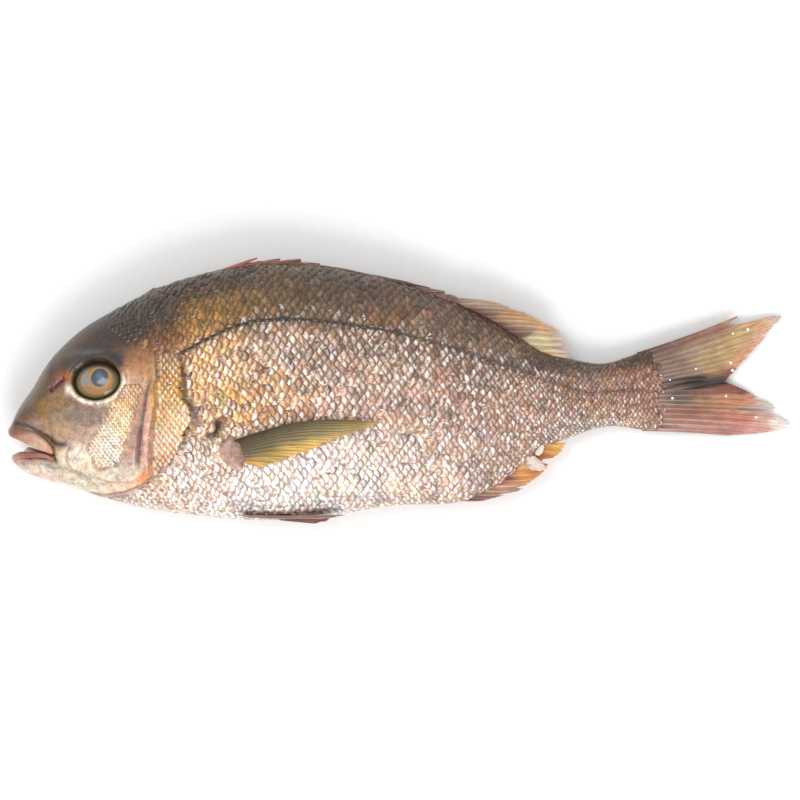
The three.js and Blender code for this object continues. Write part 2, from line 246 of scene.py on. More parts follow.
# --- Skin -------------------------------------------------------------------------------------------
# The skin is wet and thin over bone on the head, and scaled over flesh behind. Olive brown on the back
# turns to gold on the shoulder, pinkish silver on the flank and near white under the belly.

FLANK_PAINT = [
    (20, 26, 12, 8, "#4e3e2c"), (44, 44, 16, 8, "#523c28"), (70, 54, 14, 7, "#4a3a28"),
    (100, 58, 16, 6, "#564636"), (125, 54, 18, 7, "#5b4a3a"), (150, 46, 18, 7, "#6a5444"),
    (146, 36, 12, 4, "#86664a"), (180, 32, 16, 7, "#6c5646"), (215, 14, 16, 4, "#4e3d30"),
    (240, 14, 12, 4, "#503c2e"), (75, 40, 12, 6, "#a27b46"), (92, 44, 12, 6, "#8a6c44"),
    (112, 46, 14, 7, "#6e5a40"), (80, 24, 12, 8, "#d2a874"), (90, 12, 12, 8, "#d2a672"),
    (104, 24, 12, 9, "#c2a48e"), (125, 24, 14, 9, "#a08676"), (105, 6, 10, 6, "#c49a76"),
    (130, 8, 14, 9, "#d4b6a6"), (150, 26, 14, 8, "#987f6c"), (155, 10, 16, 10, "#c2a494"),
    (178, 18, 14, 9, "#8e7666"), (185, 4, 16, 9, "#b09484"), (215, 2, 18, 8, "#a68878"),
    (240, 0, 12, 9, "#b28a78"), (226, -11, 14, 3, "#a6988a"), (76, 2, 5, 8, "#dcb890"),
    (78, -16, 8, 8, "#eed8c8"), (95, -26, 18, 9, "#f8f3ee"), (125, -20, 16, 8, "#f4e6dc"),
    (150, -16, 16, 9, "#e8d2c4"), (180, -12, 14, 8, "#c6aa9c"), (200, -12, 12, 5, "#b89a8a"),
    (60, -28, 14, 5, "#ead6c6"), (110, -36, 30, 4, "#e8e2da"), (160, -34, 18, 5, "#cfbcae"),
    (186, -24, 12, 6, "#bea494"),
]


def add(tree, kind, settings=None, **links):
    """Adds a node to a tree with its settings. Each link names an input, with underlines for spaces,
    and gives it a value, another node's output, or a node, which stands for its first output."""
    made = tree.nodes.new(kind)
    for key, value in (settings or {}).items():
        setattr(made, key, value)
    for key, value in links.items():
        socket = made.inputs[int(key[1:]) if key[1:].isdigit() else key.replace("_", " ")]
        if isinstance(value, bpy.types.Node):
            value = value.outputs[0]
        if isinstance(value, bpy.types.NodeSocket):
            tree.links.new(value, socket)
        else:
            socket.default_value = value
    return made


def new_material(name):
    """An empty material with its tree and the place of a point on the object."""
    material = bpy.data.materials.new(name)
    material.use_nodes = True
    tree = material.node_tree
    tree.nodes.clear()
    return material, tree, add(tree, "ShaderNodeTexCoord").outputs["Object"]


def surfaced(material, **inputs):
    """Ends a material with a principled shader that has these inputs, and gives the material back."""
    tree = material.node_tree
    shader = add(tree, "ShaderNodeBsdfPrincipled", None, **inputs)
    add(tree, "ShaderNodeOutputMaterial", None, Surface=shader)
    return material


def spots(millimetres):
    """The pattern scale in repeats per metre for a feature of a size in millimetres."""
    return 1000 / millimetres


MULTIPLY = {"data_type": "RGBA", "blend_type": "MULTIPLY"}


def shaded(tree, colour, value, share=1.0):
    """A colour made lighter or darker by a value, which is turned to a grey and multiplied on it."""
    grey = add(tree, "ShaderNodeCombineColor", Red=value, Green=value, Blue=value)
    return add(tree, "ShaderNodeMix", MULTIPLY, _0=share, _6=colour, _7=grey).outputs[2]


def tinted(tree, colour, value, *stops):
    """A colour multiplied by a tint that turns from one to another as a value rises between two stops,
    each as (value, tint)."""
    ramp = add(tree, "ShaderNodeValToRGB", Fac=value)
    for element, (place, tint) in zip(ramp.color_ramp.elements, stops):
        element.position, element.color = place, (*tint, 1)
    return add(tree, "ShaderNodeMix", MULTIPLY, _0=1.0, _6=colour, _7=ramp).outputs[2]


def wet_skin():
    """Wet skin over bone: pigment cells mottle it at 1 to 3 mm and blotch it warm and cool at 7 mm, it is
    finely pitted, and a film of slime gives it small sharp lights."""
    material, tree, place = new_material("wet_skin")
    paint = add(tree, "ShaderNodeAttribute", {"attribute_name": "paint"})
    mottle = add(tree, "ShaderNodeTexNoise", Vector=place, Scale=spots(2.8), Detail=7.0, Roughness=0.72)
    shade = add(
        tree, "ShaderNodeMapRange", Value=mottle, From_Min=0.34, From_Max=0.66, To_Min=0.55, To_Max=1.42,
    )
    blotch = add(tree, "ShaderNodeTexNoise", Vector=place, Scale=spots(7), Detail=5.0, Roughness=0.75)
    base = shaded(tree, paint, shade)
    base = tinted(tree, base, blotch, (0.4, (1.12, 0.97, 0.83)), (0.6, (0.94, 0.93, 0.97)))
    pits = add(tree, "ShaderNodeTexVoronoi", Vector=place, Scale=spots(1.3), Randomness=0.9)
    fleck = add(tree, "ShaderNodeMapRange", Value=pits, From_Min=0.05, From_Max=0.5, To_Min=0.7, To_Max=1.1)
    fine = add(tree, "ShaderNodeTexNoise", Vector=place, Scale=spots(0.8), Detail=4.0)
    height = add(tree, "ShaderNodeMath", {"operation": "ADD"}, _0=fine, _1=fleck)
    bump = add(tree, "ShaderNodeBump", Strength=0.5, Distance=0.0005, Height=height)
    rough = add(tree, "ShaderNodeMapRange", Value=mottle, From_Min=0.3, From_Max=0.7, To_Min=0.28, To_Max=0.5)
    return surfaced(
        material, Base_Color=shaded(tree, base, fleck, 0.8), Roughness=rough, Normal=bump, Coat_Weight=0.5,
        Coat_Roughness=0.1,
    )


WET_SKIN = wet_skin()


def reach(x, y, points):
    """Distance from each x and y to the nearest of the straight stretches that join the points, and
    how far along them that nearest place is, from 0 to 1."""
    best, share = np.full(np.shape(x), 1e9), np.zeros(np.shape(x))
    points = np.array(points, float)
    lengths = np.linalg.norm(np.diff(points, axis=0), axis=1)
    starts = np.r_[0, np.cumsum(lengths)]
    for a, b, size, start in zip(points[:-1], points[1:], lengths, starts):
        t = np.clip(((x - a[0]) * (b[0] - a[0]) + (y - a[1]) * (b[1] - a[1])) / size**2, 0, 1)
        away = np.hypot(x - a[0] - t * (b[0] - a[0]), y - a[1] - t * (b[1] - a[1]))
        nearer = away < best
        best, share = np.where(nearer, away, best), np.where(nearer, (start + t * size) / starts[-1], share)
    return best, share


def flank_relief(x, y):
    """The scaled lump over the root of the side fin, and the hollow in front of it."""
    lump = 1.2 * np.exp(-(((x - 86) / 4.2) ** 2) - ((y - 0.8) / 3.0) ** 2)
    return lump - 1.6 * axil(x, y) - 0.35 * crease(x, y)


CREASES = [
    [(108, 22), (112, 16.5), (115, 11)],
    [(115, 24.5), (119.5, 15), (122, 8), (125.5, -0.6)],
    [(99, 20), (104, 13)],
]


def crease(x, y):
    """The wrinkles that slant down the shoulder: 1 along their lines and 0 away from them."""
    return np.max([np.exp(-((reach(x, y, line)[0] / 0.9) ** 2)) for line in CREASES], axis=0)


def axil(x, y):
    """The slit between the gill cover and the root of the side fin, a hollow painted dark for its shade:
    1 in it and 0 away from it.
    """
    return np.exp(-(((x - 79.6 - 0.45 * (y + 2)) / 2.1) ** 4) - ((y + 2.2) / 4.2) ** 4)


GILL_EDGE = [
    (60, 53), (64.5, 41), (67.6, 31), (69.3, 22), (68.7, 14), (69.4, 8.9), (72.0, 5.2), (72.5, 1.3),
    (69.7, -2.1), (67.1, -6.6), (64.8, -11.2), (61.5, -14.6), (55.5, -19.2), (51.2, -22.3), (43.7, -24.6),
    (35, -25.4), (30, -24),
]


def gill_station(angle):
    """How far back the head reaches at each angle round it, which draws the gill cover's edge."""
    x, y = np.array(GILL_EDGE, float).T
    turn = angle_at(x, y)
    turn[0] = 0
    folded = np.pi - np.abs(np.pi - angle % (2 * np.pi))
    return np.interp(folded, turn, x)


def full_turn(count):
    """The angles of the corners of a ring."""
    return np.linspace(0, 2 * np.pi, count, endpoint=False)[None, :]


UNDER_SCALES = 0.35  # depth of the trunk's skin under the scales' outer face


def trunk():
    """The body behind the gills: rings from under the gill cover to the tail's root, closed at both
    ends by rings that shrink to a point."""
    rings, around = 220, 260
    x = np.linspace(40, BODY_LENGTH + 3, rings)[:, None]
    angle = full_turn(around) + np.pi / 2
    end = step(x, BODY_LENGTH + 3, BODY_LENGTH - 6)
    plain = section(np.minimum(x, BODY_LENGTH), angle)
    tucked = 9 * step(x, 58, 48) * step(plain[..., 1], -8, 4)
    lift = flank_relief(plain[..., 0], plain[..., 1]) - UNDER_SCALES - tucked
    points = lifted(np.minimum(x, BODY_LENGTH) + 0 * angle, angle + 0 * x, lift)
    points[..., 0] = x
    core = stacked(x, (back(x) + belly(x)) / 2, middle(x) + 0 * angle)
    end = np.sqrt(np.clip(end, 0, 1))
    end[[0, -1]] = 0.02
    points[..., 2:] = core[..., 2:] + (points - core)[..., 2:] * (0.25 + 0.75 * end[..., None])
    px, py = points[..., 0], points[..., 1]
    # Painted shadow: the skin is darkened just behind the gill cover's edge, where the cover overhangs it,
    # and made nearly black as painted shade in the slit before the side fin's root.
    gill_edge_shadow = np.exp(-(((px - gill_station(angle) - 0.9) / 1.5) ** 2)) * step(plain[..., 1], -24, -16)
    slit_shade = np.maximum(axil(px - 1.4, py), axil(px, py))
    colour = 0.62 * painted(px, py, FLANK_PAINT)
    colour = colour * (1 - 0.8 * gill_edge_shadow)[..., None] * (1 - 0.98 * slit_shade)[..., None]
    return piece("trunk_skin", points, ring_faces(rings, around), WET_SKIN, "skin", "body", paint=colour)


trunk()

# --- Head -------------------------------------------------------------------------------------------
# Skin stretched over the skull, cheek and gill cover, ending behind in the free edge of the gill cover,
# which lies over the body. Grooves run behind the cheek and above the lip, and the eye sits in a socket.

EYE = (36.4, 19.3)
EYE_SIZE = (9.5, 7.6)  # half the socket's length and height
JAW_EDGE = through([(0, 1.5), (1.7, 0.2), (7.1, -2.4), (11.9, -5), (16, -7.6), (20, -10)])
CHEEK_GROOVE = [(57.5, 19), (55.4, 13), (53.2, 3.5), (51, -6.2), (49.4, -16)]
COVER_LINE = [(58.5, 10), (56, 0), (54.4, -9), (53.8, -17)]
LIP_GROOVE = [(1.5, 6.2), (8.4, 3.4), (15.2, -0.7), (18.5, -3.6), (24.5, -4.6)]
CHEEK_FOLD = [(42.3, -10.4), (40.6, -13.2), (36.5, -14.6), (31, -13.6)]
FLANGE_LINE = [(30, -16.8), (38, -19.6), (46.5, -20.4), (51.4, -17.8), (52.6, -13)]
JAW_FOLD = [(24.5, -4.6), (22.4, -8), (22.2, -11), (24, -14)]
NOSTRIL = [(17.6, 16.2), (20.6, 18.6), (24, 21.2)]
BROW = [(28, 27.6), (32.5, 30), (37, 30.4), (41.4, 29.2), (45, 26.6), (47.4, 22.6)]
HEAD_PAINT = [
    (12, 15, 7, 6, "#54432f"), (5, 8, 4, 4, "#5e4434"), (24, 31, 9, 6, "#463524"),
    (24, 21.4, 2.6, 2.2, "#96582c"), (14.6, 10.6, 2.2, 2.6, "#a4802c"), (35, 29.5, 7, 2.6, "#33292a"),
    (21, 13, 5, 3, "#947450"), (14, 9, 5, 4, "#74583a"), (12, 4, 4, 2.6, "#9c877c"),
    (20, 4, 6, 5, "#9a846c"), (30, 7, 6, 4, "#887468"), (28, -1, 5, 3, "#b29c8c"),
    (48, 11, 3.4, 4, "#d4ab7c"), (44.5, 3, 3.4, 5, "#f4dab4"), (39.5, -4.5, 4, 5, "#fbe5d0"),
    (35, -10, 4, 3.4, "#f4dec8"), (29, -8, 3.4, 3, "#ecdccb"), (50, 0, 2, 7, "#aa8676"),
    (46.5, -9, 2.6, 5, "#b29186"), (52, 9, 2.4, 4, "#a1866c"), (41, -17.2, 7, 1.9, "#cfc8ba"),
    (47, -14, 2.6, 2.6, "#cbbcb0"), (44, -22.6, 7, 1.5, "#dfc5b5"), (52.4, -19, 2.2, 2, "#dd9464"),
    (54.6, 0, 1.4, 12, "#cda898"), (62, 7, 4, 6, "#c8a470"), (67, 2.5, 3.6, 4, "#e6ccb0"),
    (62, -5, 4, 5, "#d4b598"), (60, -13, 3.6, 3.4, "#b48f72"), (64, 15, 4, 4, "#a87f40"),
    (62, 22, 5, 4, "#ac8a62"), (50, 22, 5, 4, "#a87c58"), (43, 28, 5, 3, "#5a3e2e"),
    (55, 28, 5, 4, "#9c6c48"), (61, 34, 5, 4, "#8a5a34"), (50, 38, 12, 6, "#382a20"),
    (60, 46, 8, 7, "#44362a"), (45.5, 17, 2.4, 4, "#8e7866"), (25, -12, 4, 3, "#dcd2c4"),
    (31, -18.6, 6, 2.2, "#d4cbbc"), (38, -26, 7, 2, "#d6bcac"), (18, -14, 6, 4, "#cfcabb"),
]


def eye_distance(x, y):
    """Distance from the middle of the eye, in which the socket's rim is at 1."""
    return np.hypot((x - EYE[0]) / EYE_SIZE[0], (y - EYE[1]) / EYE_SIZE[1])


def ridge(x, y, points, width):
    """A bell across a line: 1 on the line and nothing a few widths away, fading at its two ends."""
    away, share = reach(x, y, points)
    return np.exp(-((away / width) ** 2)) * step(share, -0.01, 0.12) * step(share, 1.01, 0.88)


def head_relief(x, y):
    """How far the head's skin stands out or in, in millimetres: bulges of cheek, brow and snout less
    the socket, the grooves and the nostril."""
    eye = eye_distance(x, y)
    out = 0.9 * np.exp(-(((x - 42) / 9) ** 2) - ((y + 1) / 10) ** 2)
    out = out + 0.7 * np.exp(-(((x - 20) / 9) ** 2) - ((y - 5) / 7) ** 2)
    out = out + 0.5 * np.exp(-(((eye - 1.16) / 0.12) ** 2))
    out = out + 1.3 * np.exp(-(((x - 35) / 8) ** 2) - ((y - 28.6) / 2.0) ** 2)
    out = out - 6.4 * step(eye, 1.06, 0.8)
    out = out - 1.1 * ridge(x, y, CHEEK_GROOVE, 0.8) - 0.5 * ridge(x, y, COVER_LINE, 0.5)
    out = out + 0.5 * step(x, 53, 60) * step(y, -22, -12)
    out = out - 0.8 * ridge(x, y, LIP_GROOVE, 0.9) - 0.9 * ridge(x, y, CHEEK_FOLD, 0.7)
    out = out - 0.6 * ridge(x, y, FLANGE_LINE, 0.6) - 0.7 * ridge(x, y, JAW_FOLD, 0.7)
    out = out - 2.0 * ridge(x, y, NOSTRIL, 0.9) + 0.35 * ridge(x, y, NOSTRIL, 2.0)
    return out + 0.5 * np.exp(-(((x - 66) / 5) ** 2) - ((y - 5) / 9) ** 2)


def cover_lift(x, y):
    """The gill cover stands off the body by its own thickness, and the nape runs in under the scales."""
    return 1.2 * step(y, 33, 22) * step(x, 30, 48) - 0.3 * step(y, 22, 33)


def laid(colour, share, text):
    """A colour laid over another in a share, from 0 for none of it to 1 for nothing else."""
    share = np.clip(share, 0, 1)[..., None]
    return colour * (1 - share) + linear(srgb(text)) * share


def head_paint(x, y):
    """Colour of the head: the places above, with painted shade along the sunk grooves and folds and on the
    socket's upper rim under the brow, a pale painted reflection behind the eye, the brow, the pale rim
    under the eye, the red nostril and the dark edge of the gill cover."""
    colour = painted(x, y, HEAD_PAINT)
    eye = eye_distance(x, y)
    edge, _ = reach(x, y, GILL_EDGE[3:])
    rim_end = step(y - 0.2 * (x - EYE[0]), 21, 14) * (0.8 + 0.2 * np.sin(1.9 * x))
    for share, text in (
        (np.exp(-(((eye - 1.15) / 0.09) ** 2)) * rim_end, "#f6efe4"),
        # Painted shade on the socket's upper rim, under the brow.
        (0.85 * np.exp(-(((eye - 1.08) / 0.1) ** 2)) * step(y, 21, 25), "#241c1a"),
        (0.9 * np.exp(-(((x - 25.4) / 1.3) ** 2) - ((y - 16.4) / 2.0) ** 2), "#f4eadc"),
        (0.95 * ridge(x, y, BROW, 1.7), "#2a2226"),
        # Painted reflection: a pale arc behind the eye.
        (0.5 * np.exp(-(((eye - 1.3) / 0.08) ** 2)) * step(x, 30, 40) * step(y, 24, 18), "#cdbfae"),
        (step(eye, 1.04, 0.98), "#3e3420"),
        # Painted shade: the sunk grooves and folds below are darkened along their lines.
        (0.9 * ridge(x, y, CHEEK_GROOVE, 0.65), "#4d4450"),
        (0.75 * ridge(x, y, COVER_LINE, 0.42), "#8a5546"),
        (0.92 * ridge(x, y, LIP_GROOVE, 0.95), "#3c2a2e"),
        (0.75 * ridge(x, y, CHEEK_FOLD, 0.5), "#80685c"),
        (0.55 * ridge(x, y, FLANGE_LINE, 0.5), "#9a7868"),
        (0.6 * ridge(x, y, JAW_FOLD, 0.55), "#7a5a48"),
        (1.1 * ridge(x, y, NOSTRIL, 1.0), "#6a2430"),
        (0.7 * step(edge, 1.6, 0.9), "#5a4034"),
        (0.55 * step(edge, 0.6, 0.2), "#c8a898"),
    ):
        colour = laid(colour, share, text)
    return colour


def head():
    """The head's skin: rings that grow from the tip of the snout to the edge of the gill cover, where
    the last few turn in under it. Between the jaws the lower outline rises to the upper lip."""
    rings, around = 270, 330
    turn = np.linspace(0, 1, around, endpoint=False)[None, :]
    angle = 2 * np.pi * turn - 0.3 * np.sin(2 * np.pi * (turn - 0.25))
    share = np.linspace(0.002, 1, rings)[:, None] ** 1.15
    x = share * gill_station(angle)
    bottom = JAW_EDGE(x) + (belly(x) - JAW_EDGE(x)) * step(x, 16.5, 20)
    plain = section(x, angle, bottom)
    lift = head_relief(plain[..., 0], plain[..., 1]) + cover_lift(plain[..., 0], plain[..., 1])
    lift = lift * step(x, 0, 5)
    edge = np.arange(rings)[:, None] - (rings - 5)
    lift = np.where(edge > 0, lift - 0.55 * edge, lift)
    points = lifted(x, angle, lift, bottom)
    colour = head_paint(points[..., 0], points[..., 1])
    return piece("head_skin", points, ring_faces(rings, around), WET_SKIN, "skin", "body", paint=colour)


head()


# --- Jaws and lips ----------------------------------------------------------------------------------
# The lower jaw is its own bone, hinged behind the mouth's corner, and both jaws carry fleshy lips. The
# mouth hangs open a little, and a pale lining shows between the lips.

JAW_TOP = through([(0, -8.4), (3.4, -6.8), (6.7, -7.4), (10.7, -7.4), (17, -9.2), (24, -11.4), (36, -17)])
HALF_JAW = through([(0, 2.2), (4, 5.0), (10, 7.2), (20, 9.6), (30, 10.6), (37, 9.6)])
JAW_PAINT = [
    (2, -10, 3, 3, "#c4a294"), (8, -9, 5, 1.6, "#b08c80"), (8, -12.5, 6, 2.4, "#dacfc4"),
    (18, -13, 6, 4, "#cfcabb"), (28, -17, 7, 4, "#c9c3b2"), (12, -16, 7, 2, "#cdb2a4"),
]
UPPER_LIP = [
    (0, 1.0, 2.3, 0), (0.22, 1.9, 1.9, 3.2), (0.42, 4.4, 1.0, 5.2), (0.62, 8.0, -0.5, 6.9),
    (0.8, 11.8, -2.6, 8.0), (0.92, 14.8, -4.8, 8.7), (1, 17.3, -7.6, 8.6),
]
LOWER_LIP = [
    (0, 1.1, -8.4, 0), (0.22, 1.9, -7.9, 2.6), (0.42, 4.2, -7.2, 4.6), (0.62, 7.6, -7.4, 6.0),
    (0.8, 11.4, -7.6, 6.9), (0.92, 14.8, -8.5, 7.6), (1, 17.6, -10, 8),
]


def lower_jaw():
    """The lower jaw: oval rings from the chin back under the cheek, where they shrink out of sight."""
    rings, around = 90, 150
    x = 37 * np.linspace(0.001, 1, rings)[:, None] ** 1.4
    angle = full_turn(around)
    nose = np.sqrt(np.clip(1 - (1 - np.clip(x / 3, 0, 1)) ** 2, 0, 1))
    top, bottom = JAW_TOP(x), belly(x) - 0.1 + 3 * step(x, 24, 37)
    y = (top + bottom) / 2 + nose * np.cos(angle) * (top - bottom) / 2
    rear = 1 - 0.5 * step(x, 26, 37)
    z = middle(x) + nose * HALF_JAW(x) * rear * np.sign(np.sin(angle)) * np.abs(np.sin(angle)) ** 0.8
    side = 0.25 * np.exp(-(((y - JAW_TOP(x) + 3) / 0.8) ** 2)) * np.sin(angle)
    points = stacked(x + 0.4, y, z - side)
    return piece("lower_jaw", points, ring_faces(rings, around), WET_SKIN, "skin", "body", paint=JAW_PAINT)


def tubes(paths, radii, sides, flat=1.0, up=(0, 0, 1)):
    """Closed tubes along paths: rings square to each path, as wide as the radius and flat times as
    thick. Gives the points and the faces."""
    paths, radii = np.asarray(paths, float), np.asarray(radii, float)
    count, length = paths.shape[:2]
    along = np.gradient(paths, axis=1)
    along /= np.linalg.norm(along, axis=-1, keepdims=True)
    side = np.cross(np.broadcast_to(np.asarray(up, float), along.shape), along)
    side /= np.linalg.norm(side, axis=-1, keepdims=True)
    over = np.cross(along, side)
    turn = np.linspace(0, 2 * np.pi, sides, endpoint=False)
    ring = side[:, :, None] * np.cos(turn)[:, None] + flat * over[:, :, None] * np.sin(turn)[:, None]
    points = paths[:, :, None] + ring * radii[:, :, None, None]
    return points, ring_faces(length, sides, count)


def lip(name, stations, radius, flat, places):
    """A fleshy lip: a flattened tube from one corner of the mouth round the front to the other."""
    t, x, y, out = np.array(stations).T
    at = np.linspace(-1, 1, 121)
    curve = [through(np.c_[t, values])(np.abs(at)) for values in (x, y, out)]
    path = np.stack([curve[0], curve[1], middle(curve[0]) + np.sign(at) * curve[2]], -1)
    middle_out = path - np.array([22, -4, middle(22)])
    end = np.sqrt(np.clip(1 - np.abs(at) ** 14, 0.001, 1))
    points, faces = tubes(path[None], (radius(np.abs(at)) * end)[None], 32, flat, middle_out)
    return piece(name, points, faces, LIP_SKIN, "skin", "body", paint=places)


def lip_skin():
    """Wet lip: soft flesh with fine wrinkles square to the lip, about 0.8 mm apart, and a film of slime."""
    material, tree, place = new_material("lip_flesh")
    paint = add(tree, "ShaderNodeAttribute", {"attribute_name": "paint"})
    squeeze = add(tree, "ShaderNodeMapping", Vector=place, Rotation=(0, 0, 0.5), Scale=(1, 0.3, 0.3))
    streak = add(tree, "ShaderNodeTexNoise", Vector=squeeze, Scale=spots(0.9), Detail=5.0)
    shade = add(tree, "ShaderNodeMapRange", Value=streak, From_Min=0.3, From_Max=0.7, To_Min=0.8, To_Max=1.12)
    bump = add(tree, "ShaderNodeBump", Strength=0.3, Distance=0.0004, Height=streak)
    return surfaced(
        material, Base_Color=shaded(tree, paint, shade), Roughness=0.36, Normal=bump, Coat_Weight=0.5,
        Coat_Roughness=0.1, Subsurface_Weight=0.08, Subsurface_Scale=0.002,
    )


LIP_SKIN = lip_skin()
UPPER_LIP_PAINT = [
    (1, 3, 3, 4, "#845444"), (6, 2.2, 3, 1.6, "#8c6252"), (9, -1, 4, 2, "#c8a490"),
    (13, -4.6, 3, 2, "#cca48c"), (17, -8.5, 2, 2, "#b8785a"), (6, -1.8, 3, 1, "#9a6450"),
]
LOWER_LIP_PAINT = [
    (2, -8, 3, 2, "#b48c80"), (8, -7, 4, 2, "#8a5c50"), (14, -8.4, 4, 2, "#a07466"),
    (17, -10, 2, 2, "#c07a58"),
]


def mouth_lining():
    """The pale lining between the jaws: a flattened ball with a ridge along its top."""
    rings, around = 40, 60
    x = np.linspace(4.0, 20, rings)[:, None]
    angle = full_turn(around)
    share = (x - 4.0) / 16
    round_end = np.sqrt(np.clip(1 - (1 - np.clip(share / 0.22, 0, 1)) ** 2, 0.0004, 1))
    height = through([(4, -6), (6.6, -4.4), (9.5, -5.2), (14, -7), (20, -8.6)])(x)
    floor = JAW_TOP(x) - 1
    y = (height + floor) / 2 + round_end * np.cos(angle) * (height - floor) / 2
    z = middle(x) + round_end * (2 + 4 * share) * np.sin(angle)
    points = stacked(x, y, z)
    places = [(6, -4.5, 3, 2, "#dccdc2"), (12, -7, 4, 2, "#a4786a")]
    return piece("mouth_lining", points, ring_faces(rings, around), LIP_SKIN, "skin", "body", paint=places)


lower_jaw()
lip(
    "upper_lip", UPPER_LIP, through([(0, 2.1), (0.3, 2.3), (0.7, 2.75), (0.92, 2.4), (1, 2.1)]), 0.7,
    UPPER_LIP_PAINT,
)
lip("lower_lip", LOWER_LIP, through([(0, 1.3), (0.5, 1.25), (1, 1.0)]), 0.8, LOWER_LIP_PAINT)
mouth_lining()


# --- Eyes -------------------------------------------------------------------------------------------
# A clear wet ball: slate pupil clouded since death, tan and grey iris, and a dark olive ring where
# it goes under the lid.


def eye_paint(u, v):
    """Colour of the eye at u along and v up from its middle: rings of pupil, iris and rim, laid one
    over the other from the outside in, with a grey patch at the front of the iris, a pale blue painted
    highlight on the pupil, and painted shade over the top of the eye under the brow."""
    colour = np.zeros(u.shape + (3,)) + linear(srgb("#433620"))
    iris = step(np.hypot((u - 0.3) / 7.0, (v + 0.4) / 5.7), 1.02, 0.86)
    pupil = step(np.hypot((u - 1.6) / 3.4, (v - 0.6) / 3.6), 1.06, 0.92)
    for share, text in (
        (step(np.hypot(u / 9.2, v / 7.4), 1.0, 0.9), "#5a5330"),
        (step(np.hypot(u / 8.4, v / 6.9), 1.0, 0.9) * step(v, 2, -3), "#7c7240"),
        (step(np.hypot((u - 0.2) / 7.6, (v + 0.4) / 6.2), 1.0, 0.9), "#6a5230"),
        (iris, "#a27642"),
        (0.7 * iris * step(np.hypot((u - 1.6) / 4.9, (v - 0.6) / 4.6), 1.0, 0.86), "#c48e4c"),
        (iris * step(u + 0.4 * v, -1.2, -2.4) * step(v, -3.2, -1), "#988c80"),
        (pupil, "#3a4656"),
        # Painted highlight on the pupil.
        (0.6 * pupil * np.exp(-(((u - 1.4) / 1.3) ** 2) - ((v - 1.4) / 1.2) ** 2), "#6c84a6"),
        # Painted shade over the top of the eye, under the brow.
        (0.8 * step(v + 0.06 * u**2, 4.4, 6.2), "#221b16"),
    ):
        colour = laid(colour, share, text)
    return 0.85 * colour


def eye_surface():
    """Clear wet eye: nearly smooth, with faint streaks in the iris about 0.5 mm apart under the clear
    cornea, which gives one small hard light."""
    material, tree, place = new_material("eye_cornea")
    paint = add(tree, "ShaderNodeAttribute", {"attribute_name": "paint"})
    streak = add(tree, "ShaderNodeTexNoise", Vector=place, Scale=spots(0.8), Detail=5.0)
    shade = add(
        tree, "ShaderNodeMapRange", Value=streak, From_Min=0.3, From_Max=0.7, To_Min=0.82, To_Max=1.18,
    )
    return surfaced(
        material, Base_Color=shaded(tree, paint, shade), Roughness=0.3, Coat_Weight=1.0, Coat_Roughness=0.03,
        Coat_IOR=1.38,
    )


EYE_SURFACE = eye_surface()
EYE_DEPTH = 4.6  # half the eyeball's thickness
EYE_SUNK = -3.6  # the ball's middle under the skin


def eye(name, side):
    """A flattened ball of rings from its outer pole, set square to the cheek."""
    rings, around = 60, 110
    down = np.linspace(0.01, np.pi - 0.01, rings)[:, None]
    turn = full_turn(around)
    u = EYE_SIZE[0] * 1.02 * np.sin(down) * np.cos(turn)
    v = EYE_SIZE[1] * 1.02 * np.sin(down) * np.sin(turn)
    w = EYE_DEPTH * np.cos(down) + 0 * turn
    at = np.array([EYE[0], EYE[0] + 1, EYE[0], EYE[0]])
    up = np.array([EYE[1], EYE[1], EYE[1] + 1, EYE[1]])
    here, ahead, above, _ = on_flank(at, up, np.array([EYE_SUNK] * 4), side)
    normal = np.cross(ahead - here, above - here)
    normal /= np.linalg.norm(normal)
    along = (ahead - here) / np.linalg.norm(ahead - here)
    above = np.cross(normal, along)
    outward = normal if side > 0 else -normal
    points = here + u[..., None] * along + v[..., None] * above + w[..., None] * outward
    if side < 0:
        points[..., 2] = np.maximum(points[..., 2], PRESSED)
    faces = ring_faces(rings, around, turned_out=side > 0)
    node = "left_eye" if side > 0 else "right_eye"
    return piece(name, points, faces, EYE_SURFACE, "eye", node, paint=eye_paint(u, v))


eye("left_eyeball", 1)
eye("right_eyeball", -1)

# --- Scales -----------------------------------------------------------------------------------------
# Thin overlapping plates of bone in pockets of skin, each with its round free edge to the rear, in
# staggered rows that run along the lateral line. They are smaller on the gill cover and the cheek.

LATERAL = through([
    (40, 22), (68, 26.7), (84.4, 33.5), (97.4, 37), (116.5, 36.3), (141.6, 31.4), (165.2, 24.6),
    (188.1, 15.3), (219, 2.4), (234.7, 1.3), (260, 1.2),
])
SCALE_PITCH = 3.1  # from one scale to the next along a row, on the shoulder
ROW_STEP = 2.05  # from one row to the next
OVERLAP = 1.22  # size of a scale over the pitch
ROW_SHARE = 0.66  # row step over pitch on the head
# Share of painted glint on the head's scales.
PATCH_GLINT = 0.22  # of the streak on the head's scales
PLATE_U = np.array([-0.56, -0.5, -0.05, 0.45, 0.9, 0.98])
PLATE_V = np.array([-1.0, -0.94, -0.4, 0.4, 0.94, 1.0])
seeded = np.random.default_rng(7)


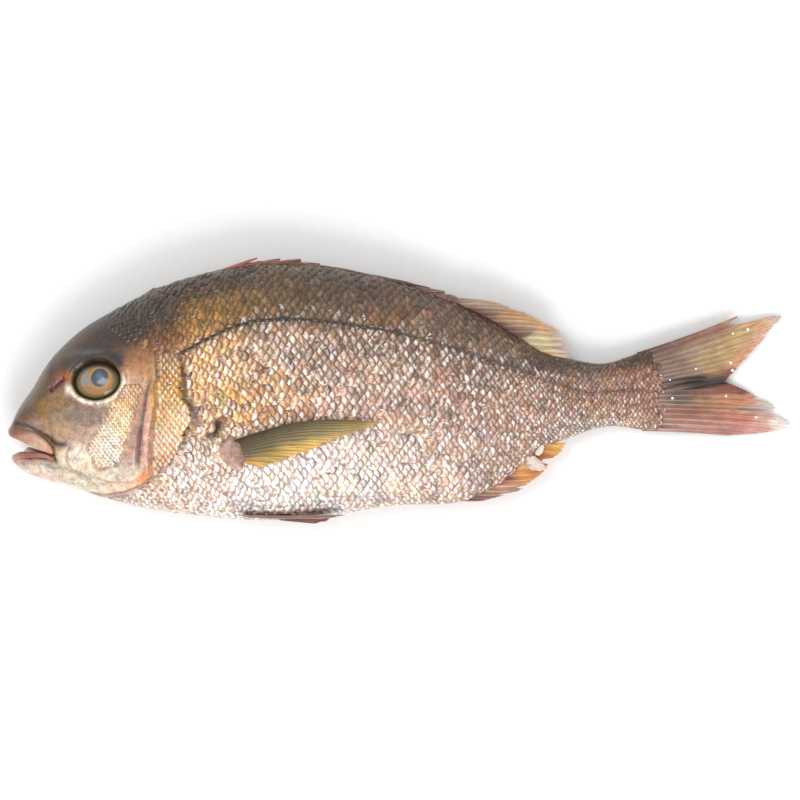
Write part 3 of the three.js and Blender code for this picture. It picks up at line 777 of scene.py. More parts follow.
def pearly_scale():
    """Scale: clear bone over a silvery layer. A pale leaning streak, a painted sheen, crosses each near
    its free edge with the pocket round it darker, white painted glints lie on the streaks in patches of
    about 3 mm, and blotches of about 9 mm shift the tone of the flank."""
    material, tree, place = new_material("pearly_scale")
    paint = add(tree, "ShaderNodeAttribute", {"attribute_name": "paint"})
    speckled = add(tree, "ShaderNodeAttribute", {"attribute_name": "speckled"}).outputs["Fac"]
    silver = add(tree, "ShaderNodeAttribute", {"attribute_name": "silver"}).outputs["Fac"]
    own = add(tree, "ShaderNodeUVMap", {"uv_map": "own"})
    mottle = add(tree, "ShaderNodeTexNoise", Vector=place, Scale=spots(1.5), Detail=5.0, Roughness=0.75)
    shaken = add(tree, "ShaderNodeMix", {"data_type": "VECTOR"}, _0=0.22, _4=own, _5=mottle.outputs["Color"])
    # Painted sheen: a pale leaning streak near each scale's free edge, darker round it.
    leaning = add(
        tree, "ShaderNodeMapping", Vector=shaken.outputs[1], Location=(-3.3, -1.45, 0),
        Rotation=(0, 0, 0.22), Scale=(5.7, 1.7, 1),
    )
    away = add(tree, "ShaderNodeVectorMath", {"operation": "LENGTH"}, Vector=leaning).outputs["Value"]
    streak = add(
        tree, "ShaderNodeMapRange", {"interpolation_type": "SMOOTHSTEP"},
        Value=away, From_Min=1.05, From_Max=0.25,
    )
    shade = add(tree, "ShaderNodeMapRange", Value=streak, To_Min=0.62, To_Max=1.24)
    cloud = add(
        tree, "ShaderNodeMapRange", Value=mottle, From_Min=0.34, From_Max=0.66, To_Min=0.54, To_Max=1.28,
    )
    blotch = add(tree, "ShaderNodeTexNoise", Vector=place, Scale=spots(9), Detail=4.0, Roughness=0.7)
    base = shaded(tree, shaded(tree, paint, shade), cloud)
    base = tinted(tree, base, blotch, (0.36, (1.12, 0.95, 0.78)), (0.64, (0.84, 0.84, 0.91)))
    centre = add(
        tree, "ShaderNodeMapping", Vector=shaken.outputs[1], Location=(-0.5, -0.42, 0), Scale=(1.0, 0.9, 1),
    )
    off = add(tree, "ShaderNodeVectorMath", {"operation": "LENGTH"}, Vector=centre).outputs["Value"]
    dot = add(tree, "ShaderNodeMapRange", Value=off, From_Min=0.24, From_Max=0.1)
    spot = add(tree, "ShaderNodeMath", {"operation": "MULTIPLY"}, _0=dot, _1=speckled)
    pink = (*linear(srgb("#9a6450")), 1)
    base = add(tree, "ShaderNodeMix", {"data_type": "RGBA"}, _0=spot, _6=base, _7=pink).outputs[2]
    # Painted glints: white laid on the streaks in patches of about 3 mm, as far as each scale's glint share
    # allows.
    gleam = add(tree, "ShaderNodeTexNoise", Vector=place, Scale=spots(3), Detail=4.0, Roughness=0.65)
    glint_spots = add(tree, "ShaderNodeMapRange", Value=gleam, From_Min=0.41, From_Max=0.6, To_Max=0.9)
    lit = add(tree, "ShaderNodeMath", {"operation": "MULTIPLY"}, _0=glint_spots, _1=streak)
    lit = add(tree, "ShaderNodeMath", {"operation": "MULTIPLY", "use_clamp": True}, _0=lit, _1=silver)
    white = (*linear(srgb("#fdf6f2")), 1)
    base = add(tree, "ShaderNodeMix", {"data_type": "RGBA"}, _0=lit, _6=base, _7=white).outputs[2]
    rough = add(
        tree, "ShaderNodeMapRange", Value=mottle, From_Min=0.3, From_Max=0.7, To_Min=0.22, To_Max=0.42,
    )
    bump = add(tree, "ShaderNodeBump", Strength=0.3, Distance=0.0003, Height=mottle)
    return surfaced(
        material, Base_Color=base, Roughness=rough, Metallic=0.12, Normal=bump, Coat_Weight=0.5,
        Coat_Roughness=0.08,
    )


PEARLY_SCALE = pearly_scale()


def base_lift(x, angle):
    """Height of the skin that the scales sit on: the head's where it reaches, and the trunk's behind."""
    point = section(x, angle)
    over = head_relief(point[..., 0], point[..., 1]) + cover_lift(point[..., 0], point[..., 1])
    return np.where(
        x < gill_station(angle) + 0.2, over, flank_relief(point[..., 0], point[..., 1]) - UNDER_SCALES,
    )


def plates(name, x, angle, long, high, colour, speckled, silver, side):
    """Scales round given middles: each is a small grid bent to the skin, raised towards its round rear
    edge, with its rim sunk in its pocket, and tilted a little by chance."""
    count = len(x)
    u, v = np.meshgrid(PLATE_U, PLATE_V, indexing="ij")
    u, v = u.ravel(), v.ravel()
    rim = (np.abs(v) > 0.97) | (u > 0.95) | (u < -0.53)
    away = np.where(u > 0, u * (1 - 0.4 * v**2), u * (1 - 0.2 * v**2))
    tall = v * (1 - 0.16 * np.clip(u, 0, 1) ** 2)
    loose = 1.0 if name.startswith("body") else 0.45
    turn = seeded.normal(0, 0.08 * loose, (count, 1))
    tilt = seeded.normal(0, loose, (2, count, 1))
    du = long[:, None] * (away * np.cos(turn) - tall * np.sin(turn) * 0.8)
    dv = high[:, None] * (tall * np.cos(turn) + away * np.sin(turn))
    rate = np.linalg.norm(section(x, angle + 0.01) - section(x, angle - 0.01), axis=-1) / 0.02
    here_x, here_angle = x[:, None] + du, angle[:, None] + dv / np.maximum(rate, 4)[:, None]
    size = long[:, None] / SCALE_PITCH
    rise = 0.05 + 0.11 * (u + 0.5) + 0.05 * (1 - v**2) + 0.06 * tilt[0] * u + 0.06 * tilt[1] * v
    stand = 1.0 if name.startswith("body") else 1.4
    lift = base_lift(here_x, here_angle) + 0.15 * (stand - 1) + size * np.where(rim, -0.12, rise * stand)
    if side < 0:
        here_angle = 2 * np.pi - here_angle
    points = pinched(lifted(np.minimum(here_x, BODY_LENGTH + 9), here_angle, lift))
    one = grid_faces(len(PLATE_U), len(PLATE_V))
    one = one if side > 0 else one[:, ::-1]
    faces = (one[None] + (np.arange(count) * len(u))[:, None, None]).reshape(-1, 4)
    silver = np.clip(silver * seeded.gamma(0.8, 1.3, count), 0, 0.95)
    shade = np.exp(seeded.normal(0, 0.27 * loose, (count, 1, 1)))
    warm = 1 + seeded.normal(0, 0.045, (count, 1, 3))
    paint = np.clip(colour[:, None, :] * shade * warm, 0.004, 1) * np.ones((1, len(u), 1))
    uv = stacked((u + 0.56) / 1.54, (v + 1) / 2)[None] * np.ones((count, 1, 1))
    every = np.ones((1, len(u)))
    return piece(
        name, points, faces, PEARLY_SCALE, "skin", "body", paint=paint, uv=uv, floor=0.03,
        silver=silver[:, None] * every, speckled=speckled[:, None] * every,
    )


def body_scales(side):
    """Rows of scales from the gill cover to the tail. Their arc from the lateral line sets the row, and
    both steps shrink with the girth towards the tail. They are made in two pieces, over and under it."""
    x = np.linspace(30, BODY_LENGTH + 8, 240)
    turn = np.linspace(0, np.pi, 241)
    ring = section(np.minimum(x, BODY_LENGTH)[:, None], turn[None])
    arc = np.cumsum(np.r_["1", np.zeros((len(x), 1)), np.linalg.norm(np.diff(ring, axis=1), axis=-1)], axis=1)
    girth = arc[:, -1]
    small = (girth / girth[80]) ** 0.42
    columns = np.cumsum(np.r_[0, np.diff(x) / (SCALE_PITCH * small[1:])])
    line_turn = angle_at(np.minimum(x, BODY_LENGTH), LATERAL(x))
    line_arc = np.array([np.interp(t, turn, a) for t, a in zip(line_turn, arc)])
    label = "left" if side > 0 else "right"
    for part, rows in (("upper", np.arange(-22, 6)), ("lower", np.arange(6, 60))):
        row, column = np.meshgrid(rows, np.arange(int(columns[-1])), indexing="ij")
        place = (column + 0.5 * (row % 2) + 0.03 * row).ravel() % columns[-1]
        place = place + seeded.normal(0, 0.05, place.shape)
        at = np.interp(place, columns, x)
        wanted = np.interp(at, x, line_arc) + row.ravel() * ROW_STEP * np.interp(at, x, small)
        whole = np.interp(at, x, girth)
        kept = (wanted > 0.6) & (wanted < whole - 0.6)
        at, wanted, whole = at[kept], wanted[kept], whole[kept]
        nearest = np.clip(np.searchsorted(x, at), 0, len(x) - 1)
        angle = np.empty_like(at)
        for k in np.unique(nearest):
            chosen = nearest == k
            angle[chosen] = np.interp(wanted[chosen] / whole[chosen], arc[k] / girth[k], turn)
        y = section(at, angle)[..., 1]
        behind = (at > gill_station(angle) + 0.9) & (axil(at, y) < 0.06)
        nape = (y > 24 + 0.45 * (70 - at)) & (at > 43 + 2 * np.sin(1.1 * y) + seeded.random(at.shape))
        ragged_end = BODY_LENGTH + 4 - 0.02 * (y - 1) ** 2 + seeded.normal(0, 3.4, at.shape)
        kept = (behind | nape) & (at < ragged_end)
        at, angle, y = at[kept], angle[kept], y[kept]
        size = np.interp(at, x, small) * (1 - 0.3 * step(at, 62, 46)) * (1 - 0.35 * step(at, 240, 254))
        on_head = (step(at, 74, 60) * nape[kept])[:, None]
        colour = 1.2 * head_paint(at, y) * on_head + painted(at, y, FLANK_PAINT) * (1 - on_head)
        over_line = y - LATERAL(at)
        line = 0.4 * np.exp(-((over_line / 1.1) ** 2)) * step(at, 66, 74)
        colour = laid(colour, line, "#3a3226")
        seam = 0.75 * step(back(at) - y, 4.5, 2) * step(at, 120, 160) * step(at, 206, 196)
        colour = laid(colour, seam, "#532e26")
        # Painted shade: scales darkened in the slit before the side fin's root and along the shoulder's
        # creases, and a dark brown strip of painted shadow just behind the gill cover's edge.
        colour = colour * (1 - 0.8 * axil(at, y))[:, None] * (1 - 0.5 * crease(at, y))[:, None]
        slit_shade = np.exp(-(((at - gill_station(angle) - 0.9) / 1.2) ** 2))
        slit_shade = 0.6 * slit_shade * step(y, -24, -16) * step(y, 27, 22)
        colour = laid(colour, slit_shade, "#4e352a")
        below = step(y, 8, -12) * step(at, 215, 165)
        # Each scale's share of painted glint: more below the lateral line, less towards the tail's root and
        # on the shoulder, hardly any above the line, and none in the slit.
        silver = 0.3 + 0.95 * step(-over_line, -10, 16) * step(at, 245, 200)
        silver = np.maximum(silver - 0.35 * step(at, 100, 84) * step(y, -6, 4), 0.08)
        silver = silver * (1 - axil(at, y)) * (1 - slit_shade) * (1 - 0.92 * step(over_line, 1, 6))
        plates(
            f"body_scales_{label}_{part}", at, angle, SCALE_PITCH * OVERLAP * size, ROW_STEP * OVERLAP * size,
            colour, 0.95 * below, silver, side,
        )


def patch_scales(name, side, corner, size, turned, pitch, inside, speckled):
    """Small scales on a part of the head: a staggered grid turned by an angle, kept where it is inside."""
    rows, columns = (np.array(size) / [pitch * ROW_SHARE, pitch]).astype(int)
    row, column = np.meshgrid(np.arange(rows), np.arange(columns), indexing="ij")
    a = (column + 0.5 * (row % 2)).ravel() * pitch
    b = row.ravel() * pitch * ROW_SHARE
    x = corner[0] + a * np.cos(turned) - b * np.sin(turned)
    y = corner[1] + a * np.sin(turned) + b * np.cos(turned)
    kept = inside(x, y)
    x, y = x[kept], y[kept]
    angle = angle_at(x, y)
    colour = np.clip(1.3 * head_paint(x, y), 0, 1)
    long = np.full(len(x), pitch * 1.2)
    speckled, silver = np.full(len(x), speckled), np.full(len(x), PATCH_GLINT)
    plates(name, x, angle, long, long * ROW_SHARE, colour, speckled, silver, side)


def in_cheek(x, y):
    """The scaled cheek, a band that slants from behind the eye down towards the mouth's corner."""
    front = np.interp(y, [-12.5, -6, 5, 14.5], [33, 31.6, 38.6, 46.4])
    behind = np.interp(y, [-12.5, -4.4, 4, 14.8], [42, 44.6, 48.8, 53.2])
    ragged = 0.5 * np.sin(2.3 * x + 1.7 * y)
    level = (y > -12.8) & (y < 16) & (eye_distance(x, y) > 1.28)
    return level & (x > front + ragged) & (x < behind + ragged)


def in_cover(x, y):
    """The scaled gill cover, between the groove and its free edge."""
    edge, _ = reach(x, y, GILL_EDGE)
    line, _ = reach(x, y, COVER_LINE + [(60, 24)])
    right_of_line = x > np.interp(y, [-17, -9, 0, 10, 24], [53.8, 55, 56.4, 58.4, 59.6])
    level = (y < 27) & (y > -17)
    clear = (edge > 1.5) & (line > 0.8) & (x < gill_station(angle_at(x, y)) - 1.4)
    return right_of_line & level & clear


for side, label in ((1, "left"), (-1, "right")):
    body_scales(side)
    patch_scales(f"cheek_scales_{label}", side, (28, -16), (40, 34), 0.0, 1.75, in_cheek, 0.7)
    patch_scales(f"cover_scales_{label}", side, (52, -18), (48, 26), 0.0, 2.2, in_cover, 0.0)


# --- Lateral line -----------------------------------------------------------------------------------
# A row of short dark canals over the scales, one to a scale, that arches from the gill cover along the
# upper flank and straightens out at the root of the tail.


def lateral_line():
    """Short tubes with shrunken ends that follow the line on each flank, each a little askew."""
    count, length = 58, 7
    for side, label in ((1, "left"), (-1, "right")):
        start = np.linspace(67.5, 240, count)[:, None]
        t = np.linspace(0, 1, length)[None, :]
        size = np.interp(start, [68, 120, 170, 240], [1, 0.85, 0.6, 0.4])
        x = start + 3.3 * t
        y = LATERAL(x) + seeded.normal(0, 0.16, (count, 1)) + 0.25 * size * (t - 0.5)
        path = pinched(on_flank(x, y, 0.62 * size - 0.3 * (2 * t - 1) ** 2, side))
        radius = size * (0.62 * np.sqrt(1 - (1.9 * (t - 0.5)) ** 2) + 0.05)
        points, faces = tubes(path, radius, 8, 0.55, (0, 0, 1))
        shade = np.exp(seeded.normal(0, 0.25, (count, 1, 1, 1)))
        faded = laid(linear(srgb("#2c251c")), step(x, 130, 215)[..., None], "#6a5444")
        colour = np.clip(faded * shade * np.ones(points.shape), 0, 1)
        piece(f"lateral_line_{label}", points, faces, WET_SKIN, "skin", "body", paint=colour, floor=0.03)


lateral_line()

# --- Fin rays and web -------------------------------------------------------------------------------
# Each fin is a fan of jointed bony rays that split towards their tips, in a thin web of skin that tears
# easily. The rays stand up as ridges on both faces of the web, and their tips fray past it.


def fin_web():
    """Fin: translucent wet web with streaks along the rays, rays paler than the web between them and
    crossed by joints every 0.7 mm or so."""
    material, tree, place = new_material("fin_web_and_rays")
    paint = add(tree, "ShaderNodeAttribute", {"attribute_name": "paint"})
    near = add(tree, "ShaderNodeAttribute", {"attribute_name": "near"}).outputs["Fac"]
    own = add(tree, "ShaderNodeUVMap", {"uv_map": "own"})
    stretched = add(tree, "ShaderNodeMapping", Vector=own, Scale=(1.6, 0.09, 1))
    streak = add(tree, "ShaderNodeTexNoise", Vector=stretched, Scale=1.6, Detail=6.0, Roughness=0.7)
    shade = add(tree, "ShaderNodeMapRange", Value=streak, From_Min=0.3, From_Max=0.7, To_Min=0.6, To_Max=1.36)
    ray = add(tree, "ShaderNodeMapRange", Value=near, To_Min=0.78, To_Max=1.16)
    both = add(tree, "ShaderNodeMath", {"operation": "MULTIPLY"}, _0=shade, _1=ray)
    joints = add(tree, "ShaderNodeMapping", Vector=own, Scale=(0.05, 1, 1))
    joint = add(
        tree, "ShaderNodeTexWave", {"bands_direction": "Y"},
        Vector=joints, Scale=0.45, Distortion=3.0, Detail=3.0,
    )
    crossed = add(tree, "ShaderNodeMapRange", Value=joint.outputs["Fac"], To_Min=0.86, To_Max=1.04)
    blotch = add(tree, "ShaderNodeTexNoise", Vector=place, Scale=spots(3.5), Detail=5.0, Roughness=0.65)
    cloud = add(
        tree, "ShaderNodeMapRange", Value=blotch, From_Min=0.3, From_Max=0.7, To_Min=0.82, To_Max=1.16,
    )
    base = shaded(tree, shaded(tree, shaded(tree, paint, both), crossed, near), cloud)
    height = add(tree, "ShaderNodeMath", {"operation": "ADD"}, _0=streak, _1=crossed)
    bump = add(tree, "ShaderNodeBump", Strength=0.35, Distance=0.0004, Height=height)
    rough = add(tree, "ShaderNodeMapRange", Value=blotch, From_Min=0.3, From_Max=0.7, To_Min=0.26, To_Max=0.5)
    return surfaced(
        material, Base_Color=base, Roughness=rough, Normal=bump, Coat_Weight=0.35, Coat_Roughness=0.12,
        Subsurface_Weight=0.1, Subsurface_Scale=0.001,
    )


FIN_WEB = fin_web()


def rays_near(across, along, count, split):
    """Nearness to the closest ray, from 0 to 1: count rays side by side, each splitting in two and then
    four as it goes."""
    within = (across * count) % 1 - 0.5
    first, second = 0.25 * step(along, split, 1.0), 0.125 * step(along, split + 0.3, 1.1)
    width = 0.2 - 0.1 * along
    near = 0
    for one in (-1, 1):
        for two in (-1, 1):
            near = np.maximum(near, np.exp(-(((within - one * first - two * second) / width) ** 2)))
    return near


def fan(
    name, rays, count, slot, node, places, seat=None, bow=0.0, split=0.3, cuts=(), fray=0.05, thick=0.34,
    wave=0.0, bleached=0.0,
):
    """A fin as a closed sheet between the rays given, each as (share across, root, tip). The web is cut
    back between the ray tips, each ray has a length of its own, and cuts as (share, width, depth) tear
    or bite into the edge. A seat gives the height of what the fin lies on."""
    share = np.array([ray[0] for ray in rays])
    ends = np.array([[*ray[1], *ray[2]] for ray in rays], float)
    across = np.linspace(0, 1, count * 11 + 1)[None, :]
    down = np.linspace(0, 1, 72)[:, None]
    six = [through(np.c_[share, ends[:, k]])(across) for k in range(6)]
    root, tip = np.stack(six[:3], -1), np.stack(six[3:], -1)
    tips = seeded.random(count)[np.clip((across * count).astype(int), 0, count - 1)]
    length = 1 - fray * tips - fray * (1 - rays_near(across, 1.0, count, split))
    for at, width, depth in cuts:
        length = length - depth * np.exp(-((np.abs(across - at) / width) ** 4))
    along = down * np.clip(length, 0.05, 1)
    points = root + (tip - root) * along[..., None]
    heading = (tip - root) / np.linalg.norm(tip - root, axis=-1, keepdims=True)
    sideways = np.stack([-heading[..., 1], heading[..., 0], 0 * heading[..., 0]], -1)
    long = np.linalg.norm(tip - root, axis=-1)
    points = points + sideways * (bow * np.sin(np.pi * along) * (long / long.max()) ** 1.5)[..., None]
    if seat is not None:
        points[..., 2] += seat(points[..., 0], points[..., 1])
    points[..., 2] += wave * np.sin(9 * across + 3.0 * along) * along
    near = rays_near(across, along, count, split)
    border = step(np.minimum(across, 1 - across), 0, 0.6 / count) * 0.7 + 0.3
    half = thick * (0.3 + 0.7 * near) * (1 - 0.62 * along) * border
    upper, lower = points + half[..., None] * [0, 0, 1], points - half[..., None] * [0, 0, 1]
    upper[..., 2] = np.maximum(upper[..., 2], 0.2)
    lower[..., 2] = np.maximum(lower[..., 2], 0.01)
    ring = np.concatenate([upper, lower[:, ::-1]], 1)
    rows, columns = down.size, 2 * across.size
    left = np.arange(across.size - 1)
    cap = np.stack([left, columns - 1 - left, columns - 2 - left, left + 1], -1)
    faces = np.concatenate([grid_faces(rows, columns, True), cap, cap[:, ::-1] + (rows - 1) * columns])
    turned = np.cross(upper[10, 5] - upper[10, 4], upper[11, 4] - upper[10, 4])[2]
    if turned < 0:
        faces = faces[:, ::-1]
    wide = np.linalg.norm(tip[0, -1] - tip[0, 0])
    uv = stacked(across * wide, along * long)
    colour = painted(ring[..., 0], ring[..., 1], places)
    pale = 1.1 * colour.mean(-1, keepdims=True)
    colour = (1 + 0.4 * bleached) * (colour * (1 - bleached) + pale * bleached)
    uv, near = (np.concatenate([value, value[:, ::-1]], 1) for value in (uv, near))
    return piece(name, ring, faces, FIN_WEB, slot, node, paint=colour, uv=uv, floor=0.0, near=near)


def pad(name, centre, size, turned, material, slot, node, places, tilt=0.0):
    """A flattened ball turned about the upright axis, for fleshy lobes and torn flaps."""
    rings, around = 30, 48
    down = np.linspace(0.02, np.pi - 0.02, rings)[:, None]
    turn = full_turn(around)
    lump = 1 + 0.1 * np.sin(3 * turn + 1) * np.sin(down) + 0.05 * np.sin(7 * turn) * np.sin(down)
    u, v = size[0] * np.sin(down) * np.cos(turn) * lump, size[1] * np.sin(down) * np.sin(turn) * lump
    w = size[2] * np.cos(down) + tilt * u
    x, y = u * np.cos(turned) - v * np.sin(turned), u * np.sin(turned) + v * np.cos(turned)
    points = stacked(x, y, w) + centre
    points[..., 2] = np.maximum(points[..., 2], 0.05)
    faces = ring_faces(rings, around, turned_out=True)
    uv = stacked(turn + 0 * down, down + 0 * turn)
    return piece(
        name, points, faces, material, slot, node, paint=places, uv=uv, near=0.5 + 0 * points[..., 0],
    )


# --- Back fin ---------------------------------------------------------------------------------------
# Eleven bony spines lie folded along the back with their web crumpled between them. Behind them the
# soft rays lean back, and the web is frayed away from their tips.

SPINE_TIPS = [
    (99.8, 61.9), (108.5, 61), (116.4, 60.2), (123.4, 58.0), (131.6, 55.1), (138.5, 53.6), (145.8, 50.9),
    (152.5, 49.6), (159.8, 47.4), (165.0, 45.9), (170.5, 44.2),
]
BACK_FIN_PAINT = [
    (96, 61, 5, 3, "#a06a5c"), (108, 60, 6, 3, "#8a5a46"), (120, 58, 8, 3, "#74564a"),
    (140, 53, 10, 3, "#5e4438"), (158, 47, 8, 3, "#6c4a3c"), (168, 42.6, 5, 2.4, "#806a60"),
    (176, 40.6, 5, 2, "#a89484"), (172, 40.5, 5, 1.4, "#62362c"), (184, 35.2, 6, 1.6, "#5a2c26"),
    (196, 27.6, 5, 2.0, "#5e3228"), (188, 36.6, 5, 2, "#a39a8e"), (190, 38, 5, 1.6, "#ac8660"),
    (196, 34.6, 5, 2, "#b0865c"), (203, 30.4, 5, 2, "#b98f64"), (199, 29, 4, 2, "#b8a88c"),
    (210, 26, 4, 2, "#c09878"), (209, 21, 5, 3, "#d0bd92"), (215, 20, 3, 2.4, "#cc9484"),
    (205, 22.6, 3, 2, "#c4b898"), (213, 16.4, 3, 1.4, "#e0c4a0"),
]
SOFT_RAYS = [
    (0, (166, 41.6), (189, 38.9)), (0.15, (171, 38.6), (196, 36.4)), (0.3, (177, 35.4), (203, 32.8)),
    (0.45, (183.5, 31.8), (209.5, 29.2)), (0.6, (190, 28), (214.6, 25.2)),
    (0.75, (196.5, 23.2), (217.6, 20.8)), (0.9, (203, 18), (217.8, 17.2)), (1, (206, 15.4), (215.5, 15.4)),
]


def spines():
    """Tapered spines along the back, root to tip, each lying on the next."""
    t = np.linspace(0, 1, 14)
    tips = np.array(SPINE_TIPS)
    root_x = tips[:, :1] - 15 + 3 * (np.arange(len(tips))[:, None] > 8)
    x = root_x + (tips[:, :1] - root_x) * t
    rise = tips[:, 1:] - 0.3 - back(tips[:, :1])
    y = back(x) - 1.4 * (1 - t) ** 1.5 + rise * t**1.6
    z = middle(x) + 0.9 * np.where(np.arange(len(tips)) % 2 == 0, 1, -1)[:, None] * (1 - 0.3 * t)
    points, faces = tubes(np.stack([x, y, z], -1), (1.05 - 0.75 * t**1.5)[None] * np.ones((len(tips), 1)), 12)
    uv = stacked(np.arange(12) / 6 + 0 * z[..., None], 15 * t[None, :, None])
    near = 0.8 + 0 * points[..., 0]
    piece(
        "back_spines", points, faces, FIN_WEB, "back_fin", "dorsal_fin",
        paint=BACK_FIN_PAINT, uv=uv, near=near,
    )


def folded_web():
    """The web folded along the back: a low rounded ridge that rises to each spine and drops behind it."""
    rows, around = 260, 28
    x = np.linspace(86, 176, rows)[:, None]
    turn = full_turn(around)
    tips = np.array(SPINE_TIPS)
    ahead = np.interp(x, tips[:, 0], np.arange(len(tips)))
    saw = (ahead % 1) ** 2
    outline = np.interp(x, tips[:, 0], tips[:, 1]) - 1.25 + 0.7 * saw
    outline = np.where(x < 99.8, back(x) + 0.8 * (x - 86) / 13.8, outline)
    bottom = back(x) - 2.2
    ends = np.sqrt(np.clip(np.minimum(x - 86, 176 - x) / 4, 0.0005, 1))
    y = (outline + bottom) / 2 + ends * np.cos(turn) * (outline - bottom) / 2
    crumple = 1 + 0.16 * np.sin(2.6 * x + 3 * turn) + 0.1 * np.sin(7.1 * x - 2 * turn)
    z = middle(x) + ends * np.sin(turn) * 1.7 * crumple
    points = stacked(x, y, z)
    uv = stacked(turn * 2 + 0.6 * x, x)
    near = np.broadcast_to(saw, y.shape)
    piece(
        "folded_back_web", points, ring_faces(rows, around), FIN_WEB, "back_fin", "dorsal_fin",
        paint=BACK_FIN_PAINT, uv=uv, near=near,
    )


spines()
folded_web()
soft_rays = [(s, (a, b, middle(a)), (c, d, middle(c) + 1.2)) for s, (a, b), (c, d) in SOFT_RAYS]
fan(
    "soft_back_fin", soft_rays, 12, "back_fin", "dorsal_fin", BACK_FIN_PAINT, bow=0.8, split=0.35,
    cuts=[(0.66, 0.03, 0.2), (0.74, 0.025, 0.3), (0.84, 0.03, 0.4), (0.92, 0.02, 0.3)], fray=0.1, wave=0.5,
)

# --- Belly fins -------------------------------------------------------------------------------------
# The fin behind the vent leans back like the soft back fin and is torn, with a pale flap of web turned
# up. The pelvic pair lies folded flat along the keel.

VENT_FIN_PAINT = [
    (170, -36, 5, 1.6, "#6a4c48"), (180, -36, 5, 1.4, "#8a6460"), (182, -34, 5, 1.4, "#b48c78"),
    (190, -32.4, 4, 1.6, "#d4a284"), (193, -33.6, 4, 1.4, "#8f7668"), (188, -29.6, 5, 1.4, "#7c4c36"),
    (196, -29.4, 4, 2, "#d8985c"), (200, -27.6, 3, 2, "#c8864e"), (197, -25, 3, 2, "#e0b080"),
    (206, -22.4, 3, 2, "#b87a44"), (208, -20, 3, 2, "#dca862"), (211, -18.4, 3, 1.6, "#e0aa6c"),
]
VENT_RAYS = [
    (0, (166, -35.6), (180.5, -37.2)), (0.15, (171, -34.6), (187, -35.9)),
    (0.3, (177, -33), (194.4, -34.2)), (0.45, (183, -30.6), (200, -30.6)),
    (0.6, (190, -27.4), (204.4, -27.8)), (0.75, (197, -22.4), (206.6, -24)), (0.9, (203, -18), (212, -20)),
    (1, (206, -16.4), (214, -17.2)),
]
vent_rays = [(s, (a, b, middle(a)), (c, d, middle(c) + 0.6)) for s, (a, b), (c, d) in VENT_RAYS]
fan(
    "vent_fin", vent_rays, 11, "belly_fin", "anal_fin", VENT_FIN_PAINT, bow=-0.6, split=0.4,
    cuts=[(0.24, 0.02, 0.2), (0.36, 0.02, 0.14), (0.76, 0.03, 0.3)], fray=0.1, wave=0.5,
)
FLAP_PAINT = [(200, -24.5, 3, 3, "#e2d0c2"), (197.6, -26, 2, 2, "#cdb8a8"), (203, -19.4, 2, 2, "#ded4c6")]
pad(
    "torn_flap", (200.4, -24.4, middle(200) + 2.6), (3.9, 2.5, 0.4), -0.6, FIN_WEB, "belly_fin", "anal_fin",
    FLAP_PAINT, 0.25,
)
pad(
    "torn_scrap", (202.6, -19.4, middle(202) + 2.8), (2.4, 1.2, 0.3), 0.9, FIN_WEB, "belly_fin", "anal_fin",
    FLAP_PAINT, 0.2,
)

PELVIC_PAINT = [
    (92, -36.6, 6, 1.6, "#9a7c6a"), (104, -37.6, 8, 1.2, "#6e4638"), (118, -38, 8, 1.0, "#7c4436"),
    (126, -38.6, 5, 1.2, "#54322c"), (112, -40.6, 8, 1.2, "#a8806e"), (100, -39.2, 5, 1.2, "#a87c66"),
]
LEFT_PELVIC = [
    (0, (86, -35.4, 27), (128.6, -38.2, 25.5)), (0.5, (88, -36.4, 24), (125, -39.0, 22.5)),
    (1, (91, -37.2, 21), (119, -39.6, 19.5)),
]
RIGHT_PELVIC = [
    (0, (88, -36.4, 9.5), (122, -38.6, 9.5)), (0.5, (92, -37.4, 13), (120, -40.6, 12.5)),
    (1, (97, -38.2, 16.5), (116, -41.5, 16)),
]
fan(
    "left_pelvic_fin", LEFT_PELVIC, 6, "belly_fin", "left_pelvic_fin", PELVIC_PAINT, bow=-0.5, fray=0.06,
    thick=0.5, wave=0.3,
)
fan(
    "right_pelvic_fin", RIGHT_PELVIC, 6, "belly_fin", "right_pelvic_fin", PELVIC_PAINT, bow=-0.4, fray=0.06,
    thick=0.5, wave=0.3,
)
